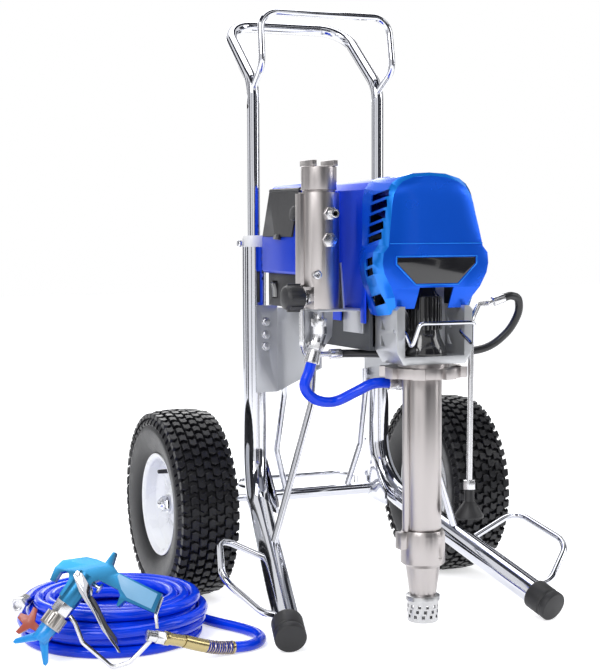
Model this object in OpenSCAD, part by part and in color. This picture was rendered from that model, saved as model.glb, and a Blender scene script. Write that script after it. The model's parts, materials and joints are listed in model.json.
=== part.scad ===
// Airless paint sprayer on a two-wheeled upright cart, with its hose coil and spray gun.
// Millimetres, +Z up. The origin is on the floor under the middle of the axle, the pump is towards -Y.

/* [Cart frame] */
// Outside diameter of the two frame tubes
tube_d = 42; // [38:0.5:45]
// Wall of the frame tubes
tube_wall = 2; // [1.5:0.25:2.5]
// Distance of each frame tube from the middle
tube_x = 122; // [118:0.5:126]
// Depth position of the frame tubes
tube_y = -4; // [-6:0.5:-2]
// Height of the top of the frame tubes
tube_top = 612; // [590:1:630]
// Bend radius of the frame tubes at the axle
leg_bend = 110; // [100:1:118]
// Length of each leg from its corner to the end of its foot
leg_len = 463; // [450:1:480]
// Fall of the legs below level, in degrees
leg_fall = 20; // [19:0.5:22]
// Outward splay of the legs, in degrees
leg_splay = 15; // [13:0.5:16]
// Diameter of the rubber feet
foot_d = 50; // [48:0.5:53]
// Length of the rubber feet
foot_len = 46; // [40:1:52]
// Depth of the socket in a foot that holds the leg
foot_socket = 34; // [28:1:36]
// Diameter of the struts from the chassis to the legs
strut_d = 12; // [10:0.5:13]
// Diameter of the rods of the hose racks
rack_d = 10; // [8:0.5:12]

/* [Wheels] */
// Outside diameter of the tyres
wheel_d = 330; // [325:1:336]
// Width of the tyres
tyre_w = 112; // [104:1:116]
// Distance of each wheel's middle from the middle of the cart
wheel_x = 262; // [260:0.5:266]
// Diameter of the steel rims over their flanges
rim_d = 178; // [170:1:186]
// Diameter of the axle shaft
axle_d = 16; // [14:0.5:18]
// Diameter of the tube round the axle between the legs
axle_tube_d = 22; // [21:0.5:26]
// Running clearance on the radius of the wheel hubs
hub_play = 0.08; // [0.05:0.01:0.1]

/* [Handle] */
// Diameter of the handle tube
handle_d = 22; // [20:0.5:24]
// Height of the handle's lower ends
handle_foot = 525; // [520:1:540]
// Height of the handle's lower corners
handle_neck = 900; // [880:1:915]
// Height of the handle's top bar
handle_top = 1017; // [1000:1:1030]
// Depth position of the handle's top bar
handle_back = 137; // [120:1:150]
// Diameter of the rod of the loop for the hose
loop_d = 12; // [10:0.5:13]
// Height of the top of the loop for the hose
loop_top = 1019; // [1005:1:1030]
// Running clearance on the radius of the handle in its collars
slide_play = 0.1; // [0.06:0.01:0.1]
// Height of the collars above the frame tubes
collar_h = 20; // [16:1:24]

/* [Chassis] */
// Thickness of the chassis sheet
sheet = 3; // [2.5:0.25:4]
// Distance of the outside of the chassis plates from the middle
chassis_x = 88; // [86:0.5:89]
// Height of the chassis deck
deck_z = 495; // [485:1:500]
// Depth of the chassis from its flanges to its front
chassis_len = 186; // [180:1:190]

/* [Motor and cover] */
// Half width of the rear shroud
shroud_x = 84; // [82:0.5:85]
// Height of the top of the shroud
shroud_top = 720; // [712:1:726]
// Wall of the plastic covers
cover_wall = 3; // [2.5:0.25:3.5]
// Depth position of the back of the shroud
shroud_back = -62; // [-66:0.5:-58]
// Depth position of the joint between shroud and front cover
cover_joint = -372; // [-376:0.5:-368]
// Depth position of the front of the cover
cover_front = -452; // [-456:0.5:-450]
// Diameter of the motor casing
motor_d = 136; // [128:1:142]

/* [Pump] */
// Depth position of the pump's axis
pump_y = -408; // [-409:0.5:-406]
// Outside diameter of the pump sleeve
sleeve_d = 58; // [54:0.5:60]
// Height of the lower end of the sleeve
sleeve_foot = 170; // [160:1:175]
// Height of the underside of the lock nut
nut_z = 412; // [408:1:414]
// Thickness of the lock nut
nut_h = 16; // [14:0.5:18]
// Outside diameter of the lock nut over its lobes
nut_d = 136; // [128:1:138]
// Diameter of the piston rod
rod_d = 20; // [18:0.5:22]
// Stroke of the piston rod
stroke = 30; // [24:1:34]

/* [Filter] */
// Position of the filter's axis across
filter_x = -140; // [-142:0.5:-139]
// Depth position of the filter's axis
filter_y = -322; // [-325:0.5:-320]
// Outside diameter of the filter body
filter_d = 64; // [62:0.5:66]
// Height of the foot of the filter body
filter_foot = 518; // [514:1:520]
// Height of the joint between filter body and cap
filter_joint = 700; // [690:1:706]
// Outside diameter of the filter cap
filter_cap_d = 56; // [52:0.5:58]

/* [Hose and gun] */
// Outside diameter of the paint hose
hose_d = 17; // [15:0.5:17]
// Radius of the outer turns of the coil, to the middle of the hose
coil_r = 146.5; // [144:0.5:148]
// Step between neighbouring turns of the coil
coil_step = 17.6; // [17.6:0.1:18]
// Place of the coil on the floor
coil_at = [-445, -205];
// Lean of the gun from level, in degrees
gun_lean = 70; // [68:0.5:74]

/* [Hidden] */
$fn = 48;
// Turn of the coil and the gun against the cart.
lay = 23.7;
axle_z = wheel_d / 2;
foot_r = foot_d / 2;
leg_dir = [sin(leg_splay) * cos(leg_fall), -cos(leg_splay) * cos(leg_fall), -sin(leg_fall)];
leg_corner_z = leg_len * sin(leg_fall) + foot_r * cos(leg_fall);
leg_corner = [tube_x, tube_y, leg_corner_z];
leg_end = leg_corner + leg_dir * leg_len;
tube_r = tube_d / 2;
tube_bore_r = tube_r - tube_wall;
clear = 0.3;

function unit(v) = v / norm(v);
function leg_at(y) = leg_corner + leg_dir * ((y - tube_y) / leg_dir.y);
function mirrored(p) = [-p.x, p.y, p.z];

// Puts what it holds at p, with the local Z along z and the local X along x.
module frame_at(p, z, x) {
    y = cross(z, x);
    multmatrix([[x.x, y.x, z.x, p.x], [x.y, y.y, z.y, p.y], [x.z, y.z, z.z, p.z], [0, 0, 0, 1]])
        children();
}

// Puts what it holds at p, with the local Z along d.
module aim(p, d) {
    z = unit(d);
    x = abs(z.z) > 0.999 ? [1, 0, 0] : unit(cross([0, 0, 1], z));
    frame_at(p, z, x) children();
}

// The points of a path with its corners rounded to radius bend, in the given number of steps.
function rounded(points, bend, steps = 5) = [
    for (i = [0:len(points) - 1])
        if (i == 0 || i == len(points) - 1)
            points[i]
        else
            let (
                back = unit(points[i] - points[i - 1]),
                ahead = unit(points[i + 1] - points[i]),
                turn = acos(back * ahead),
                cut = bend * tan(turn / 2),
                inward = unit(ahead - back * (back * ahead)),
                middle = points[i] - back * cut + inward * bend
            )
            for (k = [0:steps])
                middle - inward * bend * cos(turn * k / steps) + back * bend * sin(turn * k / steps)
];

// The direction of a path at each of its points.
function headings(path) = [
    for (i = [0:len(path) - 1])
        unit(path[min(i + 1, len(path) - 1)] - path[max(i - 1, 0)])
];

// One normal for each heading, turned as little as possible from the one before.
function normals(ways) = let (
    side = abs(ways[0].z) > 0.9 ? [1, 0, 0] : [0, 0, 1],
    first = unit(side - ways[0] * (side * ways[0]))
) [
    for (i = 0, n = first; i < len(ways); i = i + 1,
        n = i < len(ways) ? unit(n - ways[i] * (n * ways[i])) : n)
        n
];

// A tube swept along a path, with one ring of the given sides at each point and flat ends.
module sweep(path, r, sides) {
    ways = headings(path);
    across = normals(ways);
    last = len(path) - 1;
    polyhedron(
        points = [
            for (i = [0:last], j = [0:sides - 1])
                let (a = 360 * j / sides)
                path[i] + r * (cos(a) * across[i] + sin(a) * cross(ways[i], across[i]))
        ],
        faces = concat(
            [for (i = [0:last - 1], j = [0:sides - 1])
                [i * sides + j, (i + 1) * sides + j, (i + 1) * sides + (j + 1) % sides]],
            [for (i = [0:last - 1], j = [0:sides - 1])
                [i * sides + j, (i + 1) * sides + (j + 1) % sides, i * sides + (j + 1) % sides]],
            [for (j = [1:sides - 2]) [0, j, j + 1]],
            [for (j = [1:sides - 2]) [last * sides, last * sides + j + 1, last * sides + j]]
        ));
}

// A round rod along the points, with every corner bent to the same radius.
module rod(points, r, bend, sides = 12, steps = 5) {
    sweep(rounded(points, bend, steps), r, sides);
}

// A plate of the given outline in the YZ plane, from x0 to x1.
module side_plate(x0, x1) {
    translate([x0, 0, 0])
        rotate([90, 0, 90])
            linear_extrude(x1 - x0)
                children();
}

// A body of the given outline in the XZ plane, from y0 back to y1.
module front_plate(y0, y1) {
    translate([0, y1, 0])
        rotate([90, 0, 0])
            linear_extrude(y1 - y0)
                children();
}

module both_sides() {
    children();
    mirror([1, 0, 0]) children();
}

// A bar of across-flats size f, so that a spanner fits it.
module hex(f, h) {
    cylinder(h = h, r = f / sqrt(3), $fn = 6);
}

// ---- Cart frame ----

// The leg starts where the straight tube ends, at the top of its bend.
leg_bend_cut = leg_bend * tan((90 - leg_fall) / 2);
leg_start_z = leg_corner_z + leg_bend_cut + 4;
leg_sides = 24;
module leg_solid() {
    rod([[tube_x, tube_y, leg_start_z], leg_corner, leg_end - leg_dir * (foot_len - foot_socket)], tube_r, leg_bend,
        leg_sides, 6);
}

module frame_tube() {
    color("silver") {
        leg_solid();
        translate([tube_x, tube_y, leg_start_z])
            difference() {
                cylinder(h = tube_top - leg_start_z, r = tube_r);
                translate([0, 0, 6]) cylinder(h = tube_top, r = tube_bore_r);
            }
    }
}
module left_frame_tube() {
    mirror([1, 0, 0]) frame_tube();
}
module right_frame_tube() {
    frame_tube();
}

module foot() {
    back = leg_end - leg_dir * foot_len;
    difference() {
        aim(back, leg_dir)
            rotate_extrude()
                polygon([[0, 0], [foot_r - 2, 0], [foot_r, 2], [foot_r, foot_len - 16], [foot_r - 1.5, foot_len - 15],
                    [foot_r - 1.5, foot_len - 12], [foot_r, foot_len - 11], [foot_r, foot_len - 2],
                    [foot_r - 1, foot_len], [0, foot_len]]);
        aim(back - leg_dir, leg_dir)
            cylinder(h = foot_socket + 1, r = tube_r + 0.05);
    }
}
module foot_caps() {
    color("#1c1b20") both_sides() foot();
}

// Plastic collar that closes a frame tube and guides the handle.
collar_skirt = 40;
module collar() {
    translate([tube_x, tube_y, tube_top])
        difference() {
            rotate_extrude()
                polygon([[handle_d / 2 + slide_play, -collar_skirt], [tube_bore_r - slide_play, -collar_skirt],
                    [tube_bore_r - slide_play, 0], [tube_r, 0], [tube_r, collar_h - 8], [tube_r - 2, collar_h],
                    [handle_d / 2 + slide_play, collar_h]]);
            translate([0, 0, lock_z - tube_top])
                rotate([0, 90, 0])
                    cylinder(h = tube_d, r = lock_r + slide_play);
        }
}
module slide_collars() {
    color("white") both_sides() collar();
}

// ---- Axle ----

axle_tube_end = 104;
gusset_t = 5;
module gusset() {
    difference() {
        side_plate(axle_tube_end, axle_tube_end + gusset_t) {
            polygon([[-70, axle_z - 20], [0, axle_z - 16], [10, axle_z - 4], [16, axle_z + 40], [16, axle_z + 92],
                [0, axle_z + 92], [-70, axle_z]]);
            translate([0, axle_z]) circle(16);
        }
        leg_solid();
        translate([tube_x, tube_y, leg_start_z]) cylinder(h = 20, r = tube_r);
        translate([axle_tube_end - 1, 0, axle_z])
            rotate([0, 90, 0])
                cylinder(h = gusset_t + 2, r = axle_d / 2);
    }
}
module axle_tube() {
    color("silver") both_sides() gusset();
    color("silver")
        translate([-axle_tube_end, 0, axle_z])
            rotate([0, 90, 0])
                difference() {
                    cylinder(h = 2 * axle_tube_end, r = axle_tube_d / 2);
                    translate([0, 0, -1]) cylinder(h = 2 * axle_tube_end + 2, r = axle_d / 2);
                }
}
hub_in = wheel_x - 48;
hub_out = wheel_x + 22;
axle_end = hub_out + 16;
module axle_shaft() {
    color("silver")
        translate([-axle_end, 0, axle_z])
            rotate([0, 90, 0])
                cylinder(h = 2 * axle_end, r = axle_d / 2);
    color("gainsboro") both_sides() axle_stop();
}
// Washers inside and domed nuts outside, which hold the wheels on the shaft.
module axle_stop() {
    translate([hub_in - 0.4 - 3, 0, axle_z])
        rotate([0, 90, 0])
            difference() {
                cylinder(h = 3, r = 15);
                translate([0, 0, -1]) cylinder(h = 5, r = axle_d / 2);
            }
    translate([hub_out + 0.4, 0, axle_z])
        rotate([0, 90, 0])
            difference() {
                union() {
                    cylinder(h = 3, r = 15);
                    hex(24, 12);
                    translate([0, 0, 12]) cylinder(h = 6, r1 = 12, r2 = 7, $fn = 32);
                }
                translate([0, 0, -1]) cylinder(h = axle_end - hub_out + 0.6, r = axle_d / 2);
            }
}

// ---- Wheels ----

wheel_r = wheel_d / 2;
rim_r = rim_d / 2;
rim_face = 38;
tread_w = tyre_w * 0.82;
module tyre() {
    color("#1a1a1e")
        translate([-wheel_x, 0, axle_z])
            rotate([0, 90, 0])
                rotate_extrude($fn = 96)
                    difference() {
                        polygon(concat(
                            [[rim_r - 8, -rim_face + 3], [rim_r + 4, -rim_face - 4]],
                            [for (a = [-60:15:-15]) [wheel_r - 44 + 34 * cos(a), -tyre_w / 2 + 22 + 22 * sin(a)]],
                            [[wheel_r - 4, -tread_w / 2], [wheel_r, -tread_w / 2 + 6]],
                            [[wheel_r, tread_w / 2 - 6], [wheel_r - 4, tread_w / 2]],
                            [for (a = [15:15:60]) [wheel_r - 44 + 34 * cos(a), tyre_w / 2 - 22 + 22 * sin(a)]],
                            [[rim_r + 4, rim_face + 4], [rim_r - 8, rim_face - 3], [rim_r - 8, rim_face - 12],
                            [rim_r + 8, rim_face - 10], [wheel_r - 28, tyre_w / 2 - 24],
                            [wheel_r - 14, tyre_w / 2 - 34], [wheel_r - 14, -tyre_w / 2 + 34],
                            [wheel_r - 28, -tyre_w / 2 + 24], [rim_r + 8, -rim_face + 10],
                            [rim_r - 8, -rim_face + 12]]));
                        for (z = [-24, -8, 8, 24])
                            translate([wheel_r - 6, z - 2]) square([7, 4]);
                    }
}
module rim() {
    translate([-wheel_x, 0, axle_z])
        rotate([0, -90, 0])
            difference() {
                rotate_extrude($fn = 72) {
                    polygon([[rim_r - 11, -38], [rim_r - 2, -42.5], [rim_r, -42], [rim_r, -40], [rim_r - 8, -35],
                        [rim_r - 8, 35], [rim_r, 40], [rim_r, 42], [rim_r - 2, 42.5], [rim_r - 11, 38]]);
                    polygon([[rim_r - 10, 20], [rim_r - 24, 13], [40, 10], [30, 16], [17, 18], [17, 15.5], [29, 13.5],
                        [39, 7.5], [rim_r - 23, 10.5], [rim_r - 10, 17]]);
                    translate([hub_bush_r, -48]) square([19 - hub_bush_r, 70]);
                }
                translate([rim_r - 32, 0, 0]) cylinder(h = 30, r = valve_r);
            }
}
hub_bush_r = 13;
valve_r = 5;
module left_rim() {
    color("white") rim();
}
module right_rim() {
    color("white") mirror([1, 0, 0]) rim();
}
module left_tyre() {
    tyre();
}
module right_tyre() {
    mirror([1, 0, 0]) tyre();
}
module hub_bush() {
    color("dimgray")
        translate([-wheel_x, 0, axle_z])
            rotate([0, -90, 0])
                difference() {
                    translate([0, 0, -48]) cylinder(h = 70, r = hub_bush_r);
                    translate([0, 0, -49]) cylinder(h = 72, r = axle_d / 2 + hub_play);
                }
}
// Rubber valve stem in its hole in the wheel disc.
module valve() {
    color("#202024")
        translate([-wheel_x, 0, axle_z])
            rotate([0, -90, 0])
                translate([rim_r - 32, 0, 0])
                    rotate_extrude($fn = 24)
                        polygon([[0, 0], [valve_r, 0], [valve_r, 15], [7, 16], [4, 22], [3.4, 40], [3, 41], [0, 41]]);
}
module left_hub_fittings() {
    hub_bush();
    valve();
}
module right_hub_fittings() {
    mirror([1, 0, 0]) {
        hub_bush();
        valve();
    }
}

// ---- Handle ----

lock_z = tube_top + 6;
lock_r = 3.5;
handle_r = handle_d / 2;
handle_travel = 240;
lock_travel = 4;
handle_bend = 46;
loop_bend = 24;
loop_fork = [tube_x + 4, tube_y - 53, handle_neck + 26];
loop_corner = [tube_x + 2, tube_y - 39, loop_top];
module handle_solid() {
    rod([[-tube_x, tube_y, handle_foot], [-tube_x, tube_y, handle_neck], [-tube_x + 1, handle_back, handle_top],
        [tube_x - 1, handle_back, handle_top], [tube_x, tube_y, handle_neck], [tube_x, tube_y, handle_foot]],
        handle_r, handle_bend, 20);
}
module handle_tube() {
    color("silver")
        difference() {
            handle_solid();
            both_sides()
                sweep([[tube_x, tube_y, handle_foot - 1], [tube_x, tube_y, handle_neck - 60]], handle_r - 2, 12);
            both_sides()
                for (z = [lock_z, lock_z + handle_travel])
                    translate([tube_x, tube_y, z])
                        rotate([0, 90, 0])
                            cylinder(h = handle_d, r = lock_r + 0.4, $fn = 12);
        }
    // Nylon glide on each lower end, which runs in the frame tube.
    color("#2a2a2e")
        both_sides()
            translate([tube_x, tube_y, handle_foot - 6])
                difference() {
                    cylinder(h = 36, r = tube_bore_r - slide_play);
                    translate([0, 0, 7]) cylinder(h = 40, r = handle_r - 1);
                    translate([0, 0, -1]) cylinder(h = 10, r = handle_r - 4);
                }
}
module handle_loop() {
    color("silver")
        difference() {
            rod([[-tube_x, tube_y, handle_neck - 10], mirrored(loop_fork), mirrored(loop_corner), loop_corner, loop_fork,
                [tube_x, tube_y, handle_neck - 10]], loop_d / 2, loop_bend);
            handle_solid();
        }
}
module lock_plunger() {
    color("gainsboro")
        translate([tube_x, tube_y, lock_z])
            rotate([0, 90, 0])
                rotate_extrude($fn = 24)
                    polygon([[0, handle_r + clear], [2.5, handle_r + clear], [lock_r, handle_r + clear + 1],
                        [lock_r, tube_r + lock_travel + clear], [7, tube_r + lock_travel + clear],
                        [7, tube_r + lock_travel + 4], [5, tube_r + lock_travel + 6], [0, tube_r + lock_travel + 6]]);
}
module left_lock_plunger() {
    mirror([1, 0, 0]) lock_plunger();
}
module right_lock_plunger() {
    lock_plunger();
}

// ---- Chassis and the rods that brace it ----

flange_y = tube_y - tube_r - clear;
flange_x = 128;
chassis_back = flange_y - sheet;
chassis_front = flange_y - chassis_len;
chassis_foot = deck_z - 140;
chassis_nose = deck_z - 83;
flange_bolts = [deck_z - 15, deck_z - 38, deck_z - 58];
strut_bolt = [chassis_x, chassis_front + 12, deck_z - 72];
module chassis_bracket() {
    color("#b9bcc4")
        difference() {
            union() {
                both_sides()
                    side_plate(chassis_x - sheet, chassis_x)
                        polygon([[flange_y, chassis_foot], [flange_y, deck_z + 10], [chassis_front + 14, deck_z + 10],
                            [chassis_front, deck_z], [chassis_front, chassis_nose]]);
                both_sides()
                    translate([chassis_x, chassis_back, chassis_foot])
                        cube([flange_x - chassis_x, sheet, deck_z + 14 - chassis_foot]);
                translate([-chassis_x + sheet / 2, chassis_front, deck_z - sheet])
                    cube([2 * chassis_x - sheet, chassis_len, sheet]);
            }
            both_sides()
                for (z = flange_bolts)
                    translate([tube_x - 12, flange_y - 10, z])
                        rotate([-90, 0, 0])
                            cylinder(h = 20, r = 4);
            both_sides()
                translate([0, strut_bolt.y, strut_bolt.z])
                    rotate([0, 90, 0])
                        cylinder(h = chassis_x + 1, r = 4);
        }
}
module strut() {
    foot = leg_at(chassis_front + 6);
    top = [chassis_x + strut_d / 2 + 1, strut_bolt.y, strut_bolt.z];
    difference() {
        union() {
            rod([foot, [top.x + 4, top.y - 2, 355], top + [0, 0, 10]], strut_d / 2, 60);
            translate([chassis_x, top.y, top.z])
                rotate([0, 90, 0])
                    cylinder(h = strut_d + 2, r = 8);
        }
        leg_solid();
        translate([chassis_x - 1, top.y, top.z])
            rotate([0, 90, 0])
                cylinder(h = strut_d + 4, r = 4);
    }
}
stay_d = 11;
stay_top = [chassis_x - sheet - stay_d / 2, tube_y - tube_r - clear - 14, chassis_foot + 24];
module rear_stay() {
    difference() {
        union() {
            rod([stay_top + [0, 0, 10], stay_top - [0, 0, 26], [83, -10, 248], [60, 0, axle_z]], stay_d / 2, 40);
            translate([stay_top.x, stay_top.y, stay_top.z])
                rotate([0, 90, 0])
                    cylinder(h = stay_d / 2, r = 8);
        }
        translate([-200, 0, axle_z])
            rotate([0, 90, 0])
                cylinder(h = 400, r = axle_tube_d / 2);
    }
}
hoop_d = 9;
module rear_hoop() {
    difference() {
        rod([[-82, 0, axle_z + 2], [-139, 120, 176], [139, 120, 176], [82, 0, axle_z + 2]], hoop_d / 2, 26);
        translate([-200, 0, axle_z])
            rotate([0, 90, 0])
                cylinder(h = 400, r = axle_tube_d / 2);
    }
}
module frame_rods() {
    color("silver") {
        both_sides() {
            strut();
            rear_stay();
        }
        rear_hoop();
    }
}
module rack() {
    rear = leg_at(-226);
    front = leg_at(-371);
    difference() {
        rod([rear, [278, -233, 147], [314, -343, 107], [262, -373, 56], front], rack_d / 2, 20);
        leg_solid();
    }
}
module hose_racks() {
    color("silver") both_sides() rack();
}
module fasteners() {
    color("gainsboro") {
        both_sides() {
            for (z = flange_bolts)
                translate([tube_x - 12, chassis_back, z])
                    rotate([90, 0, 0]) {
                        translate([0, 0, -sheet]) cylinder(h = sheet + 1, r = 4);
                        cylinder(h = 1.5, r = 8);
                        translate([0, 0, 1.5]) hex(11, 5);
                    }
            translate([chassis_x + strut_d + 2, strut_bolt.y, strut_bolt.z])
                rotate([0, 90, 0]) {
                    hex(13, 6);
                    translate([0, 0, -strut_d - 2 - sheet]) cylinder(h = strut_d + 3 + sheet, r = 4);
                }
        }
        translate([hinge.x, door_y1 + 4, hinge.y])
            rotate([90, 0, 0])
                cylinder(h = door_y1 - door_y0 + 8, r = 1.5);
        in_gun() translate([pivot.x, pivot.y, -18]) cylinder(h = 36, r = 2.5);
    }
}

// ---- Motor and gears ----

motor_z = deck_z + 105;
motor_r = motor_d / 2;
motor_back = shroud_back - 30;
motor_front = chassis_front;
shaft_r = 6;
gear_module = 2;
pinion_teeth = 12;
gear_teeth = 60;
gear_y = -345;
gear_w = 14;
crank_z = motor_z - gear_module * (pinion_teeth + gear_teeth) / 2;
box_back = chassis_front;
box_x = 76;
box_foot = deck_z - 43;
box_top = motor_z + 34;
bearing_play = 0.06;

// A gear of plain tapered teeth, with a tooth on its +X side when turned is 0.
module spur(teeth, width, turned) {
    pitch = teeth * gear_module / 2;
    step = 360 / teeth;
    rotate([0, 0, turned])
        linear_extrude(width)
            polygon([for (i = [0:teeth - 1], p = [[-0.27, -1.15], [-0.13, 0.85], [0.13, 0.85], [0.27, -1.15]])
                let (r = pitch + p.y * gear_module, a = (i + p.x) * step)
                [r * cos(a), r * sin(a)]]);
}
module motor_rotor() {
    color("silver")
        difference() {
            union() {
                translate([0, motor_back + 26, motor_z])
                    rotate([90, 0, 0])
                        cylinder(h = motor_back + 26 - gear_y + gear_w + 4, r = shaft_r);
                translate([0, gear_y + gear_w / 2, motor_z])
                    rotate([90, 0, 0])
                        spur(pinion_teeth, gear_w, 90);
            }
            translate([0, motor_back + 27, motor_z])
                rotate([90, 0, 0])
                    cylinder(h = 14, r = 2);
        }
    color("#303034")
        translate([0, motor_back + 20, motor_z])
            rotate([90, 0, 0])
                difference() {
                    union() {
                        cylinder(h = 16, r = 14);
                        translate([0, 0, 13]) cylinder(h = 3, r = motor_r - 12);
                        for (a = [0:40:320])
                            rotate([0, 0, a]) translate([10, -1, 2]) cube([motor_r - 24, 2, 13]);
                    }
                    translate([0, 0, -1]) cylinder(h = 18, r = shaft_r);
                }
}
module motor_casing() {
    color("dimgray")
        difference() {
            union() {
                translate([0, motor_back, motor_z])
                    rotate([90, 0, 0])
                        cylinder(h = motor_back - motor_front, r = motor_r);
                translate([-52, motor_front + 6, deck_z])
                    cube([104, motor_back - motor_front - 12, motor_z - deck_z]);
            }
            translate([0, motor_back + 1, motor_z])
                rotate([90, 0, 0])
                    cylinder(h = motor_back - motor_front + 2, r = shaft_r + bearing_play);
            for (a = [20:40:340])
                translate([0, motor_back + 1, motor_z])
                    rotate([90, a, 0])
                        translate([motor_r - 10, 0, 0])
                            cylinder(h = motor_back - motor_front + 2, r = 4, $fn = 24);
        }
}
module gear_housing() {
    color("#4a4c52")
        difference() {
            translate([-box_x, cover_joint, box_foot])
                cube([2 * box_x, box_back - cover_joint, box_top - box_foot]);
            translate([-box_x + 6, cover_joint - 1, box_foot + 6])
                cube([2 * box_x - 12, box_back - cover_joint - 90, box_top - box_foot - 12]);
            translate([0, box_back + 1, motor_z])
                rotate([90, 0, 0])
                    cylinder(h = 120, r = shaft_r + bearing_play);
            translate([0, cover_joint + 60, crank_z])
                rotate([90, 0, 0])
                    translate([0, 0, -60]) cylinder(h = 61, r = 8 + bearing_play);
        }
}
crank_wall_y = cover_joint - 12;
crank_face_y = crank_wall_y - clear - 8;
module crank_gear() {
    color("silver") {
        translate([0, cover_joint + 100, crank_z])
            rotate([90, 0, 0]) {
                cylinder(h = cover_joint + 100 - crank_wall_y + clear, r = 8);
                translate([0, 0, cover_joint + 100 - crank_wall_y + clear]) cylinder(h = 8, r = 26);
            }
        translate([0, gear_y + gear_w / 2, crank_z])
            rotate([90, 0, 0])
                difference() {
                    spur(gear_teeth, gear_w, 90 + 180 / gear_teeth);
                    translate([0, 0, -1]) cylinder(h = gear_w + 2, r = 8);
                    for (a = [0:60:300])
                        rotate([0, 0, a]) translate([36, 0, -1]) cylinder(h = gear_w + 2, r = 11);
                }
    }
}
throw = stroke / 2;
con_rod_len = 44;
rod_top = crank_z - throw - con_rod_len;
module connecting_rod() {
    color("gray")
        difference() {
            union() {
                translate([0, pump_y + 8, crank_z - throw]) rotate([90, 0, 0]) cylinder(h = 14, r = 13);
                translate([-7, pump_y - 5, rod_top]) cube([14, 12, con_rod_len]);
                translate([0, pump_y + 8, rod_top]) rotate([90, 0, 0]) cylinder(h = 14, r = 9);
                translate([0, crank_face_y - clear, crank_z - throw])
                    rotate([90, 0, 0])
                        cylinder(h = crank_face_y - clear - pump_y - 8, r = 6);
            }
            translate([0, pump_y + 20, rod_top]) rotate([90, 0, 0]) cylinder(h = 40, r = 4);
        }
}
module piston_rod() {
    color("silver")
        difference() {
            union() {
                translate([0, pump_y, sleeve_foot + 60]) cylinder(h = rod_top - 12 - sleeve_foot - 60, r = rod_d / 2);
                translate([-12, pump_y - 13, rod_top - 12]) cube([24, 5, 24]);
                translate([-12, pump_y + 9, rod_top - 12]) cube([24, 5, 24]);
                translate([-12, pump_y - 13, rod_top - 16]) cube([24, 27, 5]);
                translate([0, pump_y + 14, rod_top]) rotate([90, 0, 0]) cylinder(h = 27, r = 4);
                translate([0, pump_y, sleeve_foot + 46]) cylinder(h = 18, r = sleeve_bore_r - bearing_play);
            }
            translate([0, pump_y, sleeve_foot + 40]) cylinder(h = 14, r = 8);
        }
}
sleeve_bore_r = 16;

// ---- Covers ----

shroud_wall_x = shroud_x - cover_wall;
module shroud_outline(w, top, foot) {
    polygon([[-w, foot], [w, foot], [w, top - 32], [w - 4, top - 16], [w - 14, top - 5], [w - 26, top], [26 - w, top],
        [14 - w, top - 5], [4 - w, top - 16], [-w, top - 32]]);
}
module motor_shroud() {
    color("#1438b4")
        difference() {
            front_plate(cover_joint, shroud_back) shroud_outline(shroud_x, shroud_top, deck_z);
            front_plate(cover_joint - 1, shroud_back - cover_wall)
                shroud_outline(shroud_wall_x, shroud_top - cover_wall, deck_z - 1);
            translate([-shroud_x - 1, filter_y - filter_r - 1, deck_z - 1])
                cube([cover_wall + 2, filter_d + 8, shelf_z + 5 - deck_z]);
            for (z = [motor_z - 50:12:motor_z + 46])
                translate([-50, shroud_back - cover_wall - 1, z]) cube([100, cover_wall + 2, 6]);
        }
}
// Half outline of the front cover from the middle of its arch down to its foot.
function cover_half(g) = [[32, 724 - g], [64 - g / 2, 711 - g], [76 - g, 676], [88 - g, 630], [89 - g, 618],
    [98 - g, 607], [97 - g, 574], [70 - g, 548], [60 - g, 530]];
module cover_outline(g) {
    half = cover_half(g);
    polygon(concat([[0, 728 - g]], half, [for (i = [len(half) - 1:-1:0]) [-half[i].x, half[i].y]]));
}
badge_y = cover_front + 2;
module cover_block(g, back) {
    intersection() {
        front_plate(cover_front - 1, back) cover_outline(g);
        side_plate(-100, 100)
            polygon([[back, 505], [back, 718 - g], [-410, 730 - g], [-430 + g, 728 - g], [-437 + g, 706],
                [cover_front + 2 + g, 620], [cover_front + g, 612], [cover_front + g, 555], [-444 + g, 540],
                [-430 + g, 526]]);
        linear_extrude(800)
            polygon([[-98 + g, back + 1], [-98 + g, -398], [-88 + g, -428], [-70 + g, cover_front + g],
                [70 - g, cover_front + g], [88 - g, -428], [98 - g, -398], [98 - g, back + 1]]);
    }
}
module front_cover() {
    color("#1450d8")
        difference() {
            cover_block(0, cover_joint);
            difference() {
                cover_block(cover_wall, cover_joint + 1);
                translate([-30, cover_front, 500]) cube([60, 6, 60]);
            }
            both_sides()
                for (i = [0:5])
                    translate([64, -428, 634 + i * 12])
                        rotate([0, 0, -22])
                            cube([40, 36, 7]);
            both_sides()
                for (z = [572, 588])
                    translate([84, -432, z]) cube([20, 22, 10]);
            both_sides() translate([66, -436, 538]) cube([30, 30, 9]);
            front_plate(cover_front - 1, badge_y) badge_outline();
            translate([-21, cover_front - 2, 500]) cube([42, 24, 53]);
        }
}
module badge_outline() {
    polygon([[-68, 599], [68, 599], [68, 590], [36, 559], [-36, 559], [-68, 590]]);
}
module panels() {
    color("#111114") front_plate(cover_front, badge_y) badge_outline();
    color("#30343a") on_slope(door_y1 - 12, 12) translate([0, 0, -12]) cube([100, 40, 6]);
}

// ---- Control box ----

box_r = -shroud_x;
box_l = -130;
box_y0 = -235;
box_y1 = -62;
door_y0 = -196;
door_y1 = -70;
hinge = [-116, 708];
slope = [hinge.x - box_l, hinge.y - 627];
slope_a = atan2(slope.x, slope.y);
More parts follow.
